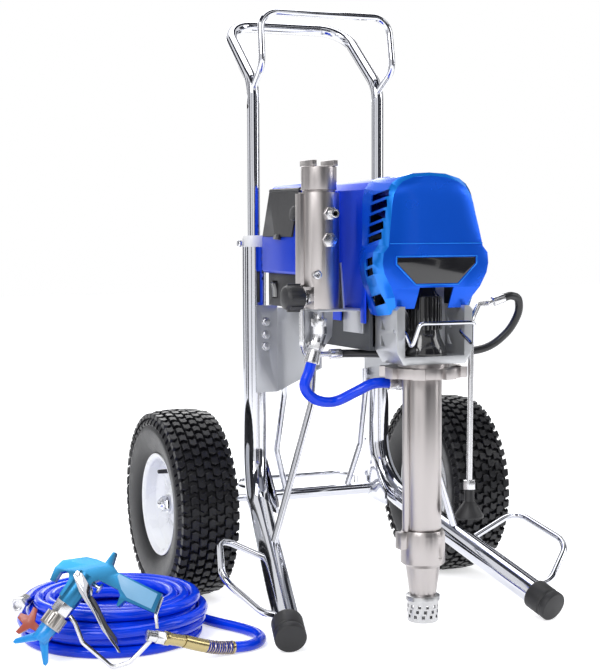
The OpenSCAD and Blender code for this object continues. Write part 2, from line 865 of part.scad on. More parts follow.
// Puts what it holds on the sloping side: local X to the front, local Y up the slope, local Z outwards.
module on_slope(y, up) {
    translate([box_l, y, 627])
        rotate([0, slope_a, 0])
            translate([0, 0, up])
                rotate([90, 0, -90])
                    children();
}
module control_box() {
    color("#1644cc")
        difference() {
            front_plate(box_y0, box_y1)
                polygon([[box_r, 568], [box_l + 4, 568], [box_l, 572], [box_l, 627], hinge - [0, 2], [-106, 718],
                    [-96, 722], [box_r, 722]]);
            on_slope(door_y1 - 6, 8) translate([0, 0, -12]) cube([door_y1 - door_y0 - 12, 58, 13]);
            translate([hinge.x, door_y1 + 4, hinge.y])
                rotate([90, 0, 0])
                    cylinder(h = door_y1 - door_y0 + 8, r = 4.6);
            on_slope(-216, 40) translate([0, 0, -10]) cylinder(h = 12, r = 5);
        }
}
module control_door() {
    color("#1b1b20")
        difference() {
            union() {
                on_slope(door_y1, 3) translate([0, 0, clear]) cube([door_y1 - door_y0, 76, 3]);
                translate([hinge.x, door_y1, hinge.y])
                    rotate([90, 0, 0])
                        cylinder(h = door_y1 - door_y0, r = 4);
                on_slope(door_y1 - 54, 3) translate([0, -5, clear]) cube([22, 8, 5]);
            }
            translate([hinge.x, door_y1 + 10, hinge.y])
                rotate([90, 0, 0])
                    cylinder(h = door_y1 - door_y0 + 20, r = 1.5 + bearing_play);
        }
}
module pressure_knob() {
    color("#202024")
        on_slope(-216, 40)
            rotate_extrude()
                polygon([[0, -9], [4.9, -9], [4.9, clear], [17, clear], [17, 3], [13, 4], [12, 16], [10, 18], [0, 18]]);
}
switch_at = [-122, -100, 540];
switch_tilt = 8;
module switch_housing() {
    color("#222226")
        difference() {
            translate([-122, -190, 512]) cube([122 - shroud_x, 118, 56]);
            translate([-123, switch_at.y - 11, switch_at.z - 15]) cube([12, 22, 30]);
            translate([switch_at.x + 6, switch_at.y + 14, switch_at.z])
                rotate([90, 0, 0])
                    cylinder(h = 28, r = 2 + bearing_play);
        }
}
module power_switch() {
    color("#0c0c0e")
        translate([switch_at.x + 6, switch_at.y + 13, switch_at.z])
            rotate([90, 0, 0])
                cylinder(h = 26, r = 2);
    color("#0c0c0e")
        translate([switch_at.x + 6, switch_at.y + 10.5, switch_at.z])
            rotate([90, -switch_tilt, 0])
                linear_extrude(21)
                    polygon([[3.3, -9], [3.3, 9], [0, 12], [-6, 13], [-9, 12], [-7.5, 0], [-9, -12], [-6, -13], [0, -12]]);
}

// ---- Pump ----

housing_x = 66;
housing_foot = nut_z + nut_h + 6;
housing_top = crank_z + 34;
collar_r = 40;
flank = [[54, housing_foot], [housing_x, housing_foot + 20], [housing_x, 518], [housing_x - 6, 524], [50, 524],
    [50, housing_top]];
module drive_housing() {
    color("#d8d9dc")
        difference() {
            translate([0, cover_joint, 0])
                rotate([90, 0, 0])
                    linear_extrude(cover_joint - cover_front - 6)
                        polygon(concat(flank, [for (i = [len(flank) - 1:-1:0]) [-flank[i].x, flank[i].y]]));
            translate([-52, cover_front - 2, housing_foot + 12])
                cube([104, crank_wall_y - cover_front + 2, housing_top]);
            translate([0, cover_joint + 1, crank_z])
                rotate([90, 0, 0])
                    cylinder(h = 14, r = 8 + bearing_play);
            translate([0, pump_y, housing_foot - 1]) cylinder(h = 20, r = rod_d / 2 + 3);
            both_sides()
                for (z = [housing_foot + 36, housing_foot + 62])
                    translate([50, cover_joint - 16, z])
                        rotate([0, 90, 0])
                            linear_extrude(30)
                                polygon([[-9, -4], [9, -18], [9, -4]]);
            both_sides()
                translate([40, hook_y, hook_z])
                    rotate([0, 90, 0])
                        cylinder(h = 40, r = hook_r + 0.3);
        }
}
cover_ribs = 14;
module rod_cover() {
    color("#18181c")
        translate([0, pump_y, 0])
            difference() {
                union() {
                    rotate_extrude()
                        polygon([[22, housing_foot + 12], [37, housing_foot + 12], [37, housing_foot + 20],
                            [30, housing_foot + 36], [25, housing_foot + 44], [25, crank_z + 2], [22, crank_z + 2]]);
                    for (a = [0:360 / cover_ribs:359])
                        rotate([0, 0, a]) translate([24, -1.6, housing_foot + 40]) cube([4, 3.2, 58]);
                    translate([-19, -38, crank_z - 24]) cube([38, 14, 46]);
                }
                translate([-60, 10, 0]) cube([120, 60, 900]);
                translate([-14, -4, rod_top + stroke + 14]) cube([28, 60, 200]);
            }
}
hook_y = -436;
hook_z = 486;
hook_r = 3;
module pail_hook() {
    color("gainsboro")
        rod([[-64, hook_y, hook_z], [-47, hook_y, hook_z], [-54, hook_y - 36, hook_z - 24], [-47, hook_y - 49, hook_z + 14],
            [47, hook_y - 49, hook_z + 14], [54, hook_y - 36, hook_z - 24], [47, hook_y, hook_z], [64, hook_y, hook_z]],
            hook_r, 5, 10, 3);
}
module lock_nut() {
    color("#cfc6c0")
        translate([0, pump_y, nut_z])
            difference() {
                union() {
                    cylinder(h = nut_h, r = nut_d / 2 - 8);
                    for (a = [0:45:315])
                        rotate([0, 0, a + 11]) translate([nut_d / 2 - 14, -10, 0]) cube([14, 20, nut_h]);
                    cylinder(h = nut_h + 5.7, r = collar_r);
                }
                translate([0, 0, -1]) cylinder(h = nut_h + 10, r = sleeve_d / 2);
            }
}
module pump_sleeve() {
    color("#d5cbc8")
        translate([0, pump_y, 0])
            difference() {
                rotate_extrude()
                    polygon([[sleeve_bore_r, sleeve_foot], [sleeve_d / 2 - 3, sleeve_foot], [sleeve_d / 2 - 3, sleeve_foot + 2],
                        [sleeve_d / 2, sleeve_foot + 2], [sleeve_d / 2, nut_z + nut_h + 5.7],
                        [rod_d / 2 + bearing_play, nut_z + nut_h + 5.7], [rod_d / 2 + bearing_play, nut_z - 30], [sleeve_bore_r, nut_z - 34]]);
                translate([0, sleeve_d / 2 - 12, outlet_z]) rotate([-90, 0, 0]) cylinder(h = 40, r = 6);
            }
    color("#b8b0ac")
        difference() {
            translate([-sleeve_d / 2 - 1, pump_y - 2, sleeve_foot]) cylinder(h = nut_z - sleeve_foot, r = 7);
            translate([0, pump_y, 0]) cylinder(h = 900, r = sleeve_d / 2);
        }
}
outlet_z = 398;
module intake_housing() {
    color("#cdc6c4")
        translate([0, pump_y, 0])
            difference() {
                union() {
                    rotate_extrude()
                        polygon([[9, 66], [21, 66], [27, 112], [35, 118], [35, sleeve_foot - 8], [33, sleeve_foot],
                            [sleeve_bore_r, sleeve_foot], [sleeve_bore_r, sleeve_foot - 20], [9, sleeve_foot - 30]]);
                    translate([-44, -9, sleeve_foot - 28]) cube([14, 18, 26]);
                }
                translate([10, -40, sleeve_foot - 42]) cube([30, 10, 30]);
                cylinder(h = 900, r = 9);
            }
    color("silver") translate([0, pump_y, sleeve_foot - 21.6]) sphere(r = 12);
}
module strainer() {
    color("silver")
        translate([0, pump_y, 0])
            difference() {
                rotate_extrude()
                    polygon([[0, 24], [23, 24], [24.5, 26], [24.5, 58], [27, 58], [27, 65], [25, 66], [9, 66], [9, 58],
                        [22, 58], [22, 27], [0, 27]]);
                for (a = [0:30:330], z = [34, 42, 50])
                    rotate([0, 0, a + z]) translate([18, -2.5, z - 3]) cube([10, 5, 5]);
            }
}

// ---- Filter and its valves ----

filter_r = filter_d / 2;
flat_x = filter_x - 20;
module filter_body() {
    color("#a8a09c")
        translate([filter_x, filter_y, 0])
            difference() {
                union() {
                    translate([0, 0, filter_foot]) cylinder(h = filter_joint - filter_foot, r = filter_r);
                    translate([-filter_r - 4, -10, 556]) cube([20, 20, filter_joint - 558]);
                }
                translate([-filter_r - 10, -filter_r - 1, filter_foot - 1])
                    cube([flat_x - filter_x + filter_r + 10, filter_d + 2, 36]);
                translate([0, 0, filter_foot + 14]) cylinder(h = 300, r = filter_r - 12);
                translate([4, -filter_r - 1, 667]) rotate([-90, 0, 0]) cylinder(h = 20, r = 6);
                translate([3, -filter_r - 1, 626]) rotate([-90, 0, 0]) cylinder(h = 14, r = 6);
                translate([-16, -20, 572]) rotate([90, 0, 0]) cylinder(h = 20, r = 7);
            }
}
module filter_cap() {
    color("#b0a8a4")
        translate([filter_x, filter_y, 0])
            difference() {
                union() {
                    rotate_extrude()
                        polygon([[0, filter_joint - 12], [filter_r - 12.3, filter_joint - 12], [filter_r - 12.3, filter_joint],
                            [filter_cap_d / 2 - 2, filter_joint], [filter_cap_d / 2 - 2, filter_joint + 3],
                            [filter_cap_d / 2, filter_joint + 4], [filter_cap_d / 2, 740], [filter_cap_d / 2 - 2, 741],
                            [0, 741]]);
                    for (s = [-1, 1])
                        translate([s * 18 - 4, -filter_cap_d / 2 + 4, 741]) cube([8, filter_cap_d - 8, 9]);
                }
                translate([-14, -14, 734]) cube([28, 28, 20]);
            }
    color("#d8c060")
        translate([filter_x, filter_y, filter_foot + 14])
            difference() {
                cylinder(h = filter_joint - filter_foot - 26 - clear, r = 15);
                translate([0, 0, 4]) cylinder(h = 200, r = 10);
            }
}
module filter_fittings() {
    translate([filter_x + 4, filter_y - filter_r, 667])
        rotate([90, 0, 0])
            difference() {
                union() {
                    translate([0, 0, -9]) cylinder(h = 10, r = 6);
                    hex(19, 8);
                    translate([0, 0, 8]) cylinder(h = 14, r = 6.7);
                }
                translate([0, 0, -10]) cylinder(h = 40, r = 4);
            }
    translate([filter_x + 3, filter_y - filter_r, 626])
        rotate([90, 0, 0]) {
            translate([0, 0, -9]) cylinder(h = 10, r = 6);
            hex(21, 6);
        }
    translate([filter_x - 16, filter_y - 20, 572])
        rotate([90, 0, 0])
            difference() {
                cylinder(h = 11, r = 7);
                translate([0, 0, 6]) cylinder(h = 9, r = 3.5, $fn = 6);
            }
    translate([flat_x, filter_y - 8, 536])
        rotate([0, -90, 0]) {
            hex(20, 6);
            translate([0, 0, 6]) cylinder(h = 26, r = 5);
        }
    translate([flat_x - 11, filter_y + 2.5, 520]) cube([11, 14, 20]);
}
module drain_knob() {
    color("#1d1d22")
        translate([flat_x - 12, filter_y - 8, 536])
            rotate([0, -90, 0])
                difference() {
                    union() {
                        rotate_extrude()
                            polygon([[0, 0], [15, 0], [15, 4], [20, 6], [20, 25], [17, 31], [10, 34], [0, 34]]);
                        for (a = [0:45:315])
                            rotate([0, 0, a]) translate([18, -3, 5]) cube([4, 6, 21]);
                    }
                    translate([0, 0, -1]) cylinder(h = 22, r = 5 + bearing_play);
                }
}
shelf_z = filter_foot - 4;
module filter_bracket() {
    color("#8a8c92")
        difference() {
            union() {
                translate([filter_x - filter_r + 16, filter_y - filter_r, shelf_z])
                    cube([-box_x - (filter_x - filter_r + 16), filter_d + 6, 4]);
                side_plate(-box_x - 4, -box_x)
                    polygon([[filter_y - filter_r, shelf_z - 36], [filter_y + filter_r + 6, shelf_z - 36],
                        [filter_y + filter_r + 6, shelf_z], [filter_y - filter_r, shelf_z]]);
                side_plate(-106, -103)
                    polygon([[filter_y - 18, shelf_z + 4], [filter_y + 38, shelf_z + 4], [filter_y + 10, 584],
                        [filter_y - 6, 590]]);
                front_plate(filter_y + 16, filter_y + 19)
                    polygon([[filter_x - 24, shelf_z], [filter_x + 32, shelf_z], [filter_x + 30, shelf_z - 42],
                        [filter_x + 14, shelf_z - 62], [filter_x - 8, shelf_z - 62], [filter_x - 24, shelf_z - 40]]);
            }
            translate([filter_x, filter_y, shelf_z - 1]) cylinder(h = 10, r = 13);
            translate([filter_x, filter_y, shelf_z + 4]) cylinder(h = 300, r = filter_r + 0.3);
        }
}
module filter_elbow() {
    translate([filter_x, filter_y, shelf_z - 24]) cylinder(h = 28, r = 9);
    translate([filter_x, filter_y, shelf_z - 24]) hex(24, 12);
    translate([filter_x, filter_y, shelf_z - 36]) cylinder(h = 12, r = 12);
    aim([filter_x, filter_y, shelf_z - 36], elbow_dir) {
        cylinder(h = 14, r = 11);
        translate([0, 0, 14]) hex(24, 12);
    }
}
elbow_dir = [-0.3, 0, -1];
pump_hose_d = 17;
elbow_end = [filter_x, filter_y, shelf_z - 36] + unit(elbow_dir) * 26;
ferrule_len = 22;
hose_start = elbow_end + unit(elbow_dir) * ferrule_len;
pump_hose_end = [-34, -352, outlet_z];
module pump_hose() {
    color("#1f46e8")
        sweep(rounded([hose_start, hose_start + unit(elbow_dir) * 30, [-162, -322, 372], [-110, -325, 366],
            pump_hose_end - [64, 0, 12], pump_hose_end - [26, 0, 0], pump_hose_end], 16, 4), pump_hose_d / 2, 12);
}
module outlet_elbow() {
    difference() {
        union() {
            translate([0, pump_y + sleeve_d / 2 - 11, outlet_z]) rotate([-90, 0, 0]) cylinder(h = 20, r = 6);
            translate([0, pump_y + sleeve_d / 2 + 1, outlet_z]) rotate([-90, 0, 0]) hex(22, 16);
            translate([-11, pump_hose_end.y - 11, outlet_z - 11]) cube([22, 22, 22]);
            translate([pump_hose_end.x + 16, pump_hose_end.y, outlet_z]) rotate([0, 90, 0]) hex(22, 8);
        }
        translate([0, pump_y + sleeve_d / 2 - 12, outlet_z]) rotate([-90, 0, 0]) cylinder(h = 28, r = 3);
    }
}
module hose_fittings() {
    color("gainsboro") {
        filter_fittings();
        filter_elbow();
        outlet_elbow();
        hose_end_fitting();
    }
}

// ---- Drain line ----

drain_tube_r = 4.5;
drain_hose_r = 6.5;
crimp_r = 8;
crimp_len = 20;
drain_a = [-112, -300, 443];
drain_b = [152, -398, 532];
drop_top = [73, -430, 528];
drop_foot = [71, -430, 246];
module drain_hose() {
    color("#101014")
        sweep(rounded([drain_a + [crimp_len, 0, 0], [-64, -300, 443], [-30, -345, 443], [60, -352, 443],
            [140, -372, 446], [184, -390, 500], [182, -396, 528], drain_b + [12, -2, 4], drain_b], 18, 4), drain_hose_r, 10);
}
module hose_crimps() {
    color("silver") {
        aim(elbow_end, elbow_dir) cylinder(h = ferrule_len, r1 = 10, r2 = 13);
        translate(pump_hose_end) rotate([0, 90, 0]) cylinder(h = 16, r = 11);
        aim(drain_a, [1, 0, 0]) cylinder(h = crimp_len, r = crimp_r);
        aim(drain_b, drain_b_dir) cylinder(h = crimp_len, r = crimp_r);
        translate(drop_foot - [0, 0, 14]) hex(18, 14);
    }
    gun_ferrule();
}
drain_b_dir = unit([-12, 2, -4]);
module drain_tubes() {
    start = drain_b + drain_b_dir * crimp_len;
    color("#a8a8ac") {
        rod([start, start + drain_b_dir * 16, [88, -424, 536], drop_top, drop_foot], drain_tube_r, 12, 10);
        rod([[flat_x - 5.5, filter_y + 9.5, 520], [flat_x - 5.5, filter_y + 9.5, 462], [-154, drain_a.y, drain_a.z], drain_a],
            drain_tube_r, 10, 10);
    }
}
module drain_nozzle() {
    color("#141418") {
        translate(drop_foot - [0, 0, 14])
            rotate_extrude()
                polygon([[0, 0], [8, 0], [8, -20], [9, -20], [23, -41], [23, -45], [19, -45], [6, -24], [0, -24]]);
    }
}

// ---- Paint hose ----

layer_turns = 3.75;
coil_turns = 14.39;
coil_from = 40;
turn_steps = 24;
hose_r = hose_d / 2;
coil_z = hose_r + 0.1;
layer_h = hose_d + 0.6;
function fold(t) = let (m = t % (2 * layer_turns)) min(m, 2 * layer_turns - m);
function climb(t) = let (k = round(t / layer_turns), w = (t - k * layer_turns) / 0.25)
    k == 0 ? 0 : k + (abs(w) >= 1 ? (w < 0 ? -1 : 0) : (w - 1) / 2);
function layer_of(t) = abs(t / layer_turns - round(t / layer_turns)) * layer_turns < 0.25
    ? max(0, climb(t))
    : floor(t / layer_turns);
function coil_point(t) = let (a = coil_from - lay + 360 * t, r = coil_r - coil_step * fold(t))
    [coil_at.x + r * cos(a), coil_at.y + r * sin(a), coil_z + layer_h * layer_of(t)];
function level(v) = unit([v.x, v.y, 0]);
coil_rings = ceil(coil_turns * turn_steps);
coil_run = [for (i = [0:coil_rings]) coil_point(coil_turns * i / coil_rings)];
coil_start_way = level(coil_run[1] - coil_run[0]);
coil_end_way = level(coil_run[coil_rings] - coil_run[coil_rings - 1]);
coil_start = coil_run[0] - coil_start_way * hose_d;
coil_end = coil_run[coil_rings] + coil_end_way * hose_d;
coil_path = concat([coil_start], coil_run, [coil_end]);
// The least space between two turns of the coil, measured from ring to ring.
function coil_gap() = min([for (i = [0:3:coil_rings - turn_steps])
    min([for (j = [i + 12:coil_rings]) norm(coil_run[i] - coil_run[j])])]) - hose_d;
module hose_coil() {
    echo(least_gap_of_coil = coil_gap());
    color("#1f46e8") sweep(coil_path, hose_r, 6);
}
guard_r = 10.5;
guard_end = [-314, -387, 10.8];
guard_bend = [-342, -392, 15];
lead_route = [guard_end, guard_end + unit(guard_end - guard_bend) * 6, [-286, -381, 8.8], [-265, -368, 8.6], [-252, -347, 8.6], [-249, -322, 8.6], [-254, -296, 8.6],
    [-264, -270, 8.6], [-277, -244, 8.6], [-288, -218, 8.6], coil_start - coil_start_way * 7,
    coil_start];
module hose_lead() {
    color("#1f46e8") sweep(lead_route, hose_r, 8);
}
module hose_end_fitting() {
    aim(coil_end, coil_end_way)
        difference() {
            union() {
                cylinder(h = 24, r = 10);
                translate([0, 0, 24]) hex(22, 14);
            }
            translate([0, 0, 30]) cylinder(h = 20, r = 7);
        }
}
gun_at = [-528.4, -387.6, 5];
swivel_at = [-445.4, -407.1, 47.5];
swivel_way = unit([0.93, 0.12, -0.27]);
module spring_guard() {
    color("#8a6a50")
        sweep([swivel_at + swivel_way * 50, swivel_at + swivel_way * 58, [-372, -397, 24], guard_bend, guard_end],
            guard_r, 12);
}
module gun_ferrule() {
    color("#b89a50")
        aim(swivel_at + swivel_way * 16, swivel_way) {
            cylinder(h = 34, r = 9);
            cylinder(h = 8, r = 10.5);
        }
}

// ---- Spray gun ----

// The gun lies on its side against the coil. In its own plane its nose points to -X and its grip to -Y.
module in_gun() {
    translate(gun_at)
        rotate([0, 0, -lay])
            rotate([gun_lean, 0, 0])
                translate([-26.5, 133.5, 0])
                    rotate([0, 0, 55])
                        children();
}
module slab(t) {
    translate([0, 0, -t / 2]) linear_extrude(t) children();
}
barrel_y = -6;
gun_t = 22;
pivot = [-2, 2];
lock_x = 1;
module gun_grips() {
    for (s = [-1, 1])
        translate([0, 0, s * (gun_t / 2 - 0.8) - (s < 0 ? 2 : 0)])
            linear_extrude(2)
                polygon([[30, -46], [34, -46], [43, -110], [20, -115], [13, -76], [18, -62]]);
}
module gun_body() {
    color("#86b8d8") in_gun() gun_grips();
    color("#1c86b8")
        in_gun()
            difference() {
                union() {
                    slab(gun_t)
                        polygon([[-40, 9], [-15, 10], [-8, 15], [-7, 21], [-13, 27], [-29, 26], [-31, 33], [-12, 38], [3, 35],
                            [14, 23], [27, 9], [33, -6], [36, -19], [55, -19], [57, -23], [40, -29], [35, -42], [47, -115],
                            [18, -122], [8, -76], [-5, -73], [-5, -70], [10, -66], [15, -58], [12, -40], [10, -26], [2, -21],
                            [-20, -21], [-40, -20]]);
                    translate([-45, barrel_y, 0]) rotate([0, 90, 0]) cylinder(h = 52, r = 15);
                }
                translate([-46, barrel_y, 0]) rotate([0, 90, 0]) cylinder(h = 30, r = 6);
                translate([pivot.x, pivot.y, -20]) cylinder(h = 40, r = 2.5 + bearing_play);
                translate([lock_x, -15, 0]) rotate([90, 0, 0]) cylinder(h = 20, r = 3 + bearing_play);
                gun_grips();
            }
}
module gun_fittings() {
    color("gainsboro") {
        in_gun() {
            translate([-45, barrel_y, 0])
                rotate([0, -90, 0])
                    difference() {
                        hex(27, 17);
                        translate([0, 0, -1]) cylinder(h = 20, r = 6);
                    }
            slab(4)
                polygon([[17, -122.3], [44, -116], [45, -119], [20, -126], [10, -134], [4, -140], [1, -136], [8, -130], [14, -124]]);
            sweep(rounded([[-56, -21.5, 0], [-60, -34, 0], [-76, -60, 0], [-80, -118, 0], [-60, -134, 0], [-17, -140, 0]], 12, 4),
                3.5, 10);
        }
        aim(swivel_at, swivel_way) {
            translate([0, 0, 2]) hex(18, 14);
            translate([0, 0, -12]) cylinder(h = 14, r = 8);
        }
    }
    color("#9a948c")
        in_gun()
            translate([-62, barrel_y, 0])
                rotate([0, -90, 0])
                    difference() {
                        union() {
                            cylinder(h = 3, r = 12);
                            translate([0, 0, 3]) cylinder(h = 21, r = 17, $fn = 64);
                        }
                        for (a = [0:30:330])
                            rotate([0, 0, a]) translate([17.5, 0, 2]) cylinder(h = 19, r = 2.6, $fn = 16);
                        translate([0, 0, -1]) cylinder(h = 40, r = 5);
                    }
}
tip_x = -98;
module tip_guard() {
    color("#1496e6")
        in_gun()
            difference() {
                union() {
                    translate([-86, barrel_y, 0]) rotate([0, -90, 0]) cylinder(h = 24, r = 13);
                    for (s = [-1, 1])
                        slab(6)
                            polygon([[-104, barrel_y], [-104, barrel_y + s * 12], [-128, barrel_y + s * 30],
                                [-134, barrel_y + s * 30], [-134, barrel_y + s * 26], [-110, barrel_y]]);
                }
                translate([tip_x, barrel_y - 20, 0]) rotate([-90, 0, 0]) cylinder(h = 40, r = 5 + bearing_play);
                translate([-140, barrel_y, 0]) rotate([0, 90, 0]) cylinder(h = 60, r = 2.5);
            }
}
module spray_tip() {
    color("#a8402c")
        in_gun()
            translate([tip_x, barrel_y, 0]) {
                rotate([-90, 0, 0])
                    difference() {
                        translate([0, 0, -12]) cylinder(h = 26, r = 5);
                        rotate([0, 90, 0]) translate([0, 0, -10]) cylinder(h = 20, r = 1.5);
                    }
                slab(7)
                    polygon([[-5, 14], [5, 14], [6, 22], [22, 30], [22, 36], [8, 34], [4, 46], [-4, 46], [-7, 34], [-22, 36],
                        [-22, 30], [-6, 22]]);
            }
}
trigger_t = 1.6;
module gun_trigger() {
    color("#16161a")
        in_gun()
            slab(18)
                polygon([[-19.7, -30.6], [-14, -31], [-20, -46], [-34, -72], [-42, -96], [-49, -104], [-41.5, -76], [-29.6, -54]]);
    color("gainsboro")
        in_gun()
            difference() {
                union() {
                    for (s = [-1, 1])
                        translate([0, 0, s * (15.3 + trigger_t / 2)])
                            slab(trigger_t)
                                polygon([[-6, 8], [3, 7], [4, -2], [-6, -24], [-20, -30], [-26, -28], [-20, -14]]);
                    slab(2 * (15.3 + trigger_t))
                        polygon([[-26, -28], [-20, -30], [-30, -54], [-42, -76], [-52, -108], [-56, -113], [-58, -112],
                            [-55, -106], [-46, -76], [-34, -52]]);
                }
                translate([pivot.x, pivot.y, -30]) cylinder(h = 60, r = 2.5 + bearing_play);
                translate([0, 0, 10]) linear_extrude(20) polygon([[-10, -40], [-30, -50], [-70, -120], [-40, -130]]);
                translate([0, 0, -30]) linear_extrude(20) polygon([[-10, -40], [-30, -50], [-70, -120], [-40, -130]]);
            }
}
module trigger_lock() {
    color("#c8c0b0")
        in_gun()
            translate([lock_x, -30, 0])
                rotate([90, 0, 0]) {
                    translate([0, 0, -14]) cylinder(h = 16, r = 3);
                    translate([0, 0, 2]) cylinder(h = 3, r = 8);
                }
}

// ---- Nodes ----

left_frame_tube();
right_frame_tube();
foot_caps();
slide_collars();
axle_tube();
axle_shaft();
left_tyre();
right_tyre();
left_rim();
right_rim();
left_hub_fittings();
right_hub_fittings();
handle_tube();
handle_loop();
left_lock_plunger();
right_lock_plunger();
chassis_bracket();
frame_rods();
hose_racks();
fasteners();
motor_rotor();
motor_casing();
gear_housing();
crank_gear();
connecting_rod();
piston_rod();
motor_shroud();
front_cover();
panels();
control_box();
control_door();
pressure_knob();
switch_housing();
power_switch();
drive_housing();
rod_cover();
pail_hook();
lock_nut();
pump_sleeve();
intake_housing();
strainer();
filter_body();
filter_cap();
drain_knob();
filter_bracket();
hose_fittings();
pump_hose();
drain_hose();
hose_crimps();
drain_tubes();
drain_nozzle();
hose_coil();
hose_lead();
spring_guard();
gun_body();
gun_fittings();
tip_guard();
spray_tip();
gun_trigger();
trigger_lock();
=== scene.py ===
import json
import math
import bmesh
import bpy
from mathutils import Matrix, Vector

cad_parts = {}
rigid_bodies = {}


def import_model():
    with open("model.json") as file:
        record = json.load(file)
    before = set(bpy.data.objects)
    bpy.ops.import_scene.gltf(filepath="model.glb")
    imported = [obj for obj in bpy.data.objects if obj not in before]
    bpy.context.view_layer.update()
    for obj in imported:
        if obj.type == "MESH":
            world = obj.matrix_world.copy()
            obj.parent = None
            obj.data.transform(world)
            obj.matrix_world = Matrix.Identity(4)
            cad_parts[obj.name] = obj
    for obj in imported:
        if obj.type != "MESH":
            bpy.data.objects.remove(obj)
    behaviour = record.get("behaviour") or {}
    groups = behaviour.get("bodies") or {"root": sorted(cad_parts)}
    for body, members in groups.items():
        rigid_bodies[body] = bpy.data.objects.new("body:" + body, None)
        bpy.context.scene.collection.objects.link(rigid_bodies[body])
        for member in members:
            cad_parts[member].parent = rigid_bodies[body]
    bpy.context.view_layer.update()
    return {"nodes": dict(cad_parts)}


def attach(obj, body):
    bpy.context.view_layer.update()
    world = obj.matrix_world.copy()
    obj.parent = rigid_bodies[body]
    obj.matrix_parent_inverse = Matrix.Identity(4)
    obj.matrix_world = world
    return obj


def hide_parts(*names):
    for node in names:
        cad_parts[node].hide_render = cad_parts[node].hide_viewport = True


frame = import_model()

scene = bpy.context.scene
nodes = frame["nodes"]


# ---------------------------------------------------------------- Camera
# A long lens on a tripod at the height of the motor, turned 23.7 degrees to the cart
# and tipped down 4 degrees.
camera_data = bpy.data.cameras.new("camera")
camera_data.sensor_fit = "VERTICAL"
camera_data.sensor_height = 36.0
camera_data.lens = 81.56
camera_data.clip_end = 60.0
camera_roll = math.radians(0.2)
camera = bpy.data.objects.new("camera", camera_data)
scene.collection.objects.link(camera)
look = Vector((0.4005, 0.9135, -0.0698)).normalized()
across = look.cross(Vector((0.0, 0.0, 1.0))).normalized()
upward = across.cross(look)
turned = Matrix.Rotation(camera_roll, 3, look)
across, upward = turned @ across, turned @ upward
camera.matrix_world = Matrix((
    (across.x, upward.x, -look.x, -1.1281),
    (across.y, upward.y, -look.y, -2.5005),
    (across.z, upward.z, -look.z, 0.6434),
    (0.0, 0.0, 0.0, 1.0)))
scene.camera = camera


# ---------------------------------------------------------------- Studio floor and light
# A floor of white card lies under the cart, in a white studio. Soft boxes stand at both
# sides, behind and above, and dark flags all round give the chrome its dark lines.
def seen_by_eye_or_metal(tree):
    """The node that is 1 for rays from the camera, off gloss or through glass, and 0 for the rest."""
    path = tree.nodes.new("ShaderNodeLightPath")
    rays = tree.nodes.new("ShaderNodeMath")
    rays.operation = "ADD"
    rays.use_clamp = True
    more = tree.nodes.new("ShaderNodeMath")
    more.operation = "ADD"
    more.use_clamp = True
    tree.links.new(path.outputs["Is Camera Ray"], rays.inputs[0])
    tree.links.new(path.outputs["Is Glossy Ray"], rays.inputs[1])
    tree.links.new(rays.outputs[0], more.inputs[0])
    tree.links.new(path.outputs["Is Transmission Ray"], more.inputs[1])
    return more


def white_card(name, roughness):
    """Matt card that is plain white to the eye and in metal, and still holds a shadow."""
    card = bpy.data.materials.new(name)
    card.use_nodes = True
    tree = card.node_tree
    tree.nodes.clear()
    out = tree.nodes.new("ShaderNodeOutputMaterial")
    matt = tree.nodes.new("ShaderNodeBsdfDiffuse")
    matt.inputs["Color"].default_value = (0.86, 0.86, 0.87, 1.0)
    matt.inputs["Roughness"].default_value = roughness
    glow = tree.nodes.new("ShaderNodeEmission")
    glow.inputs["Color"].default_value = (1.0, 1.0, 1.0, 1.0)
    glow.inputs["Strength"].default_value = 0.57
    both = tree.nodes.new("ShaderNodeAddShader")
    seen = tree.nodes.new("ShaderNodeMixShader")
    tree.links.new(matt.outputs[0], both.inputs[0])
    tree.links.new(glow.outputs[0], both.inputs[1])
    tree.links.new(seen_by_eye_or_metal(tree).outputs[0], seen.inputs[0])
    tree.links.new(matt.outputs[0], seen.inputs[1])
    tree.links.new(both.outputs[0], seen.inputs[2])
    tree.links.new(seen.outputs[0], out.inputs["Surface"])
    return card


floor_size = 24.0
bpy.ops.object.select_all(action="DESELECT")
bpy.ops.mesh.primitive_plane_add(size=floor_size, location=(0.0, 0.0, 0.0))
floor = bpy.context.object
floor.name = "floor"
floor.data.materials.append(white_card("floor_card", 0.5))

world = bpy.data.worlds.new("studio")
scene.world = world
world.use_nodes = True
sky = world.node_tree
sky.nodes.clear()
sky_out = sky.nodes.new("ShaderNodeOutputWorld")
sky_mix = sky.nodes.new("ShaderNodeMixShader")
sky_seen = sky.nodes.new("ShaderNodeBackground")
sky_seen.inputs["Color"].default_value = (1.0, 1.0, 1.0, 1.0)
sky_seen.inputs["Strength"].default_value = 1.0
sky_light = sky.nodes.new("ShaderNodeBackground")
sky_light.inputs["Color"].default_value = (0.96, 0.98, 1.0, 1.0)
sky_light.inputs["Strength"].default_value = 0.55
sky.links.new(seen_by_eye_or_metal(sky).outputs[0], sky_mix.inputs[0])
sky.links.new(sky_light.outputs[0], sky_mix.inputs[1])
sky.links.new(sky_seen.outputs[0], sky_mix.inputs[2])
sky.links.new(sky_mix.outputs[0], sky_out.inputs["Surface"])


def soft_box(name, place, aim_at, width, height, power):
    """A rectangular area light of that size in metres and power in watts."""
    lamp = bpy.data.lights.new(name, "AREA")
    lamp.shape = "RECTANGLE"
    lamp.size = width
    lamp.size_y = height
    lamp.energy = power
    lamp_object = bpy.data.objects.new(name, lamp)
    scene.collection.objects.link(lamp_object)
    lamp_object.location = place
    away = Vector(place) - Vector(aim_at)
    lamp_object.rotation_euler = away.to_track_quat("Z", "Y").to_euler()


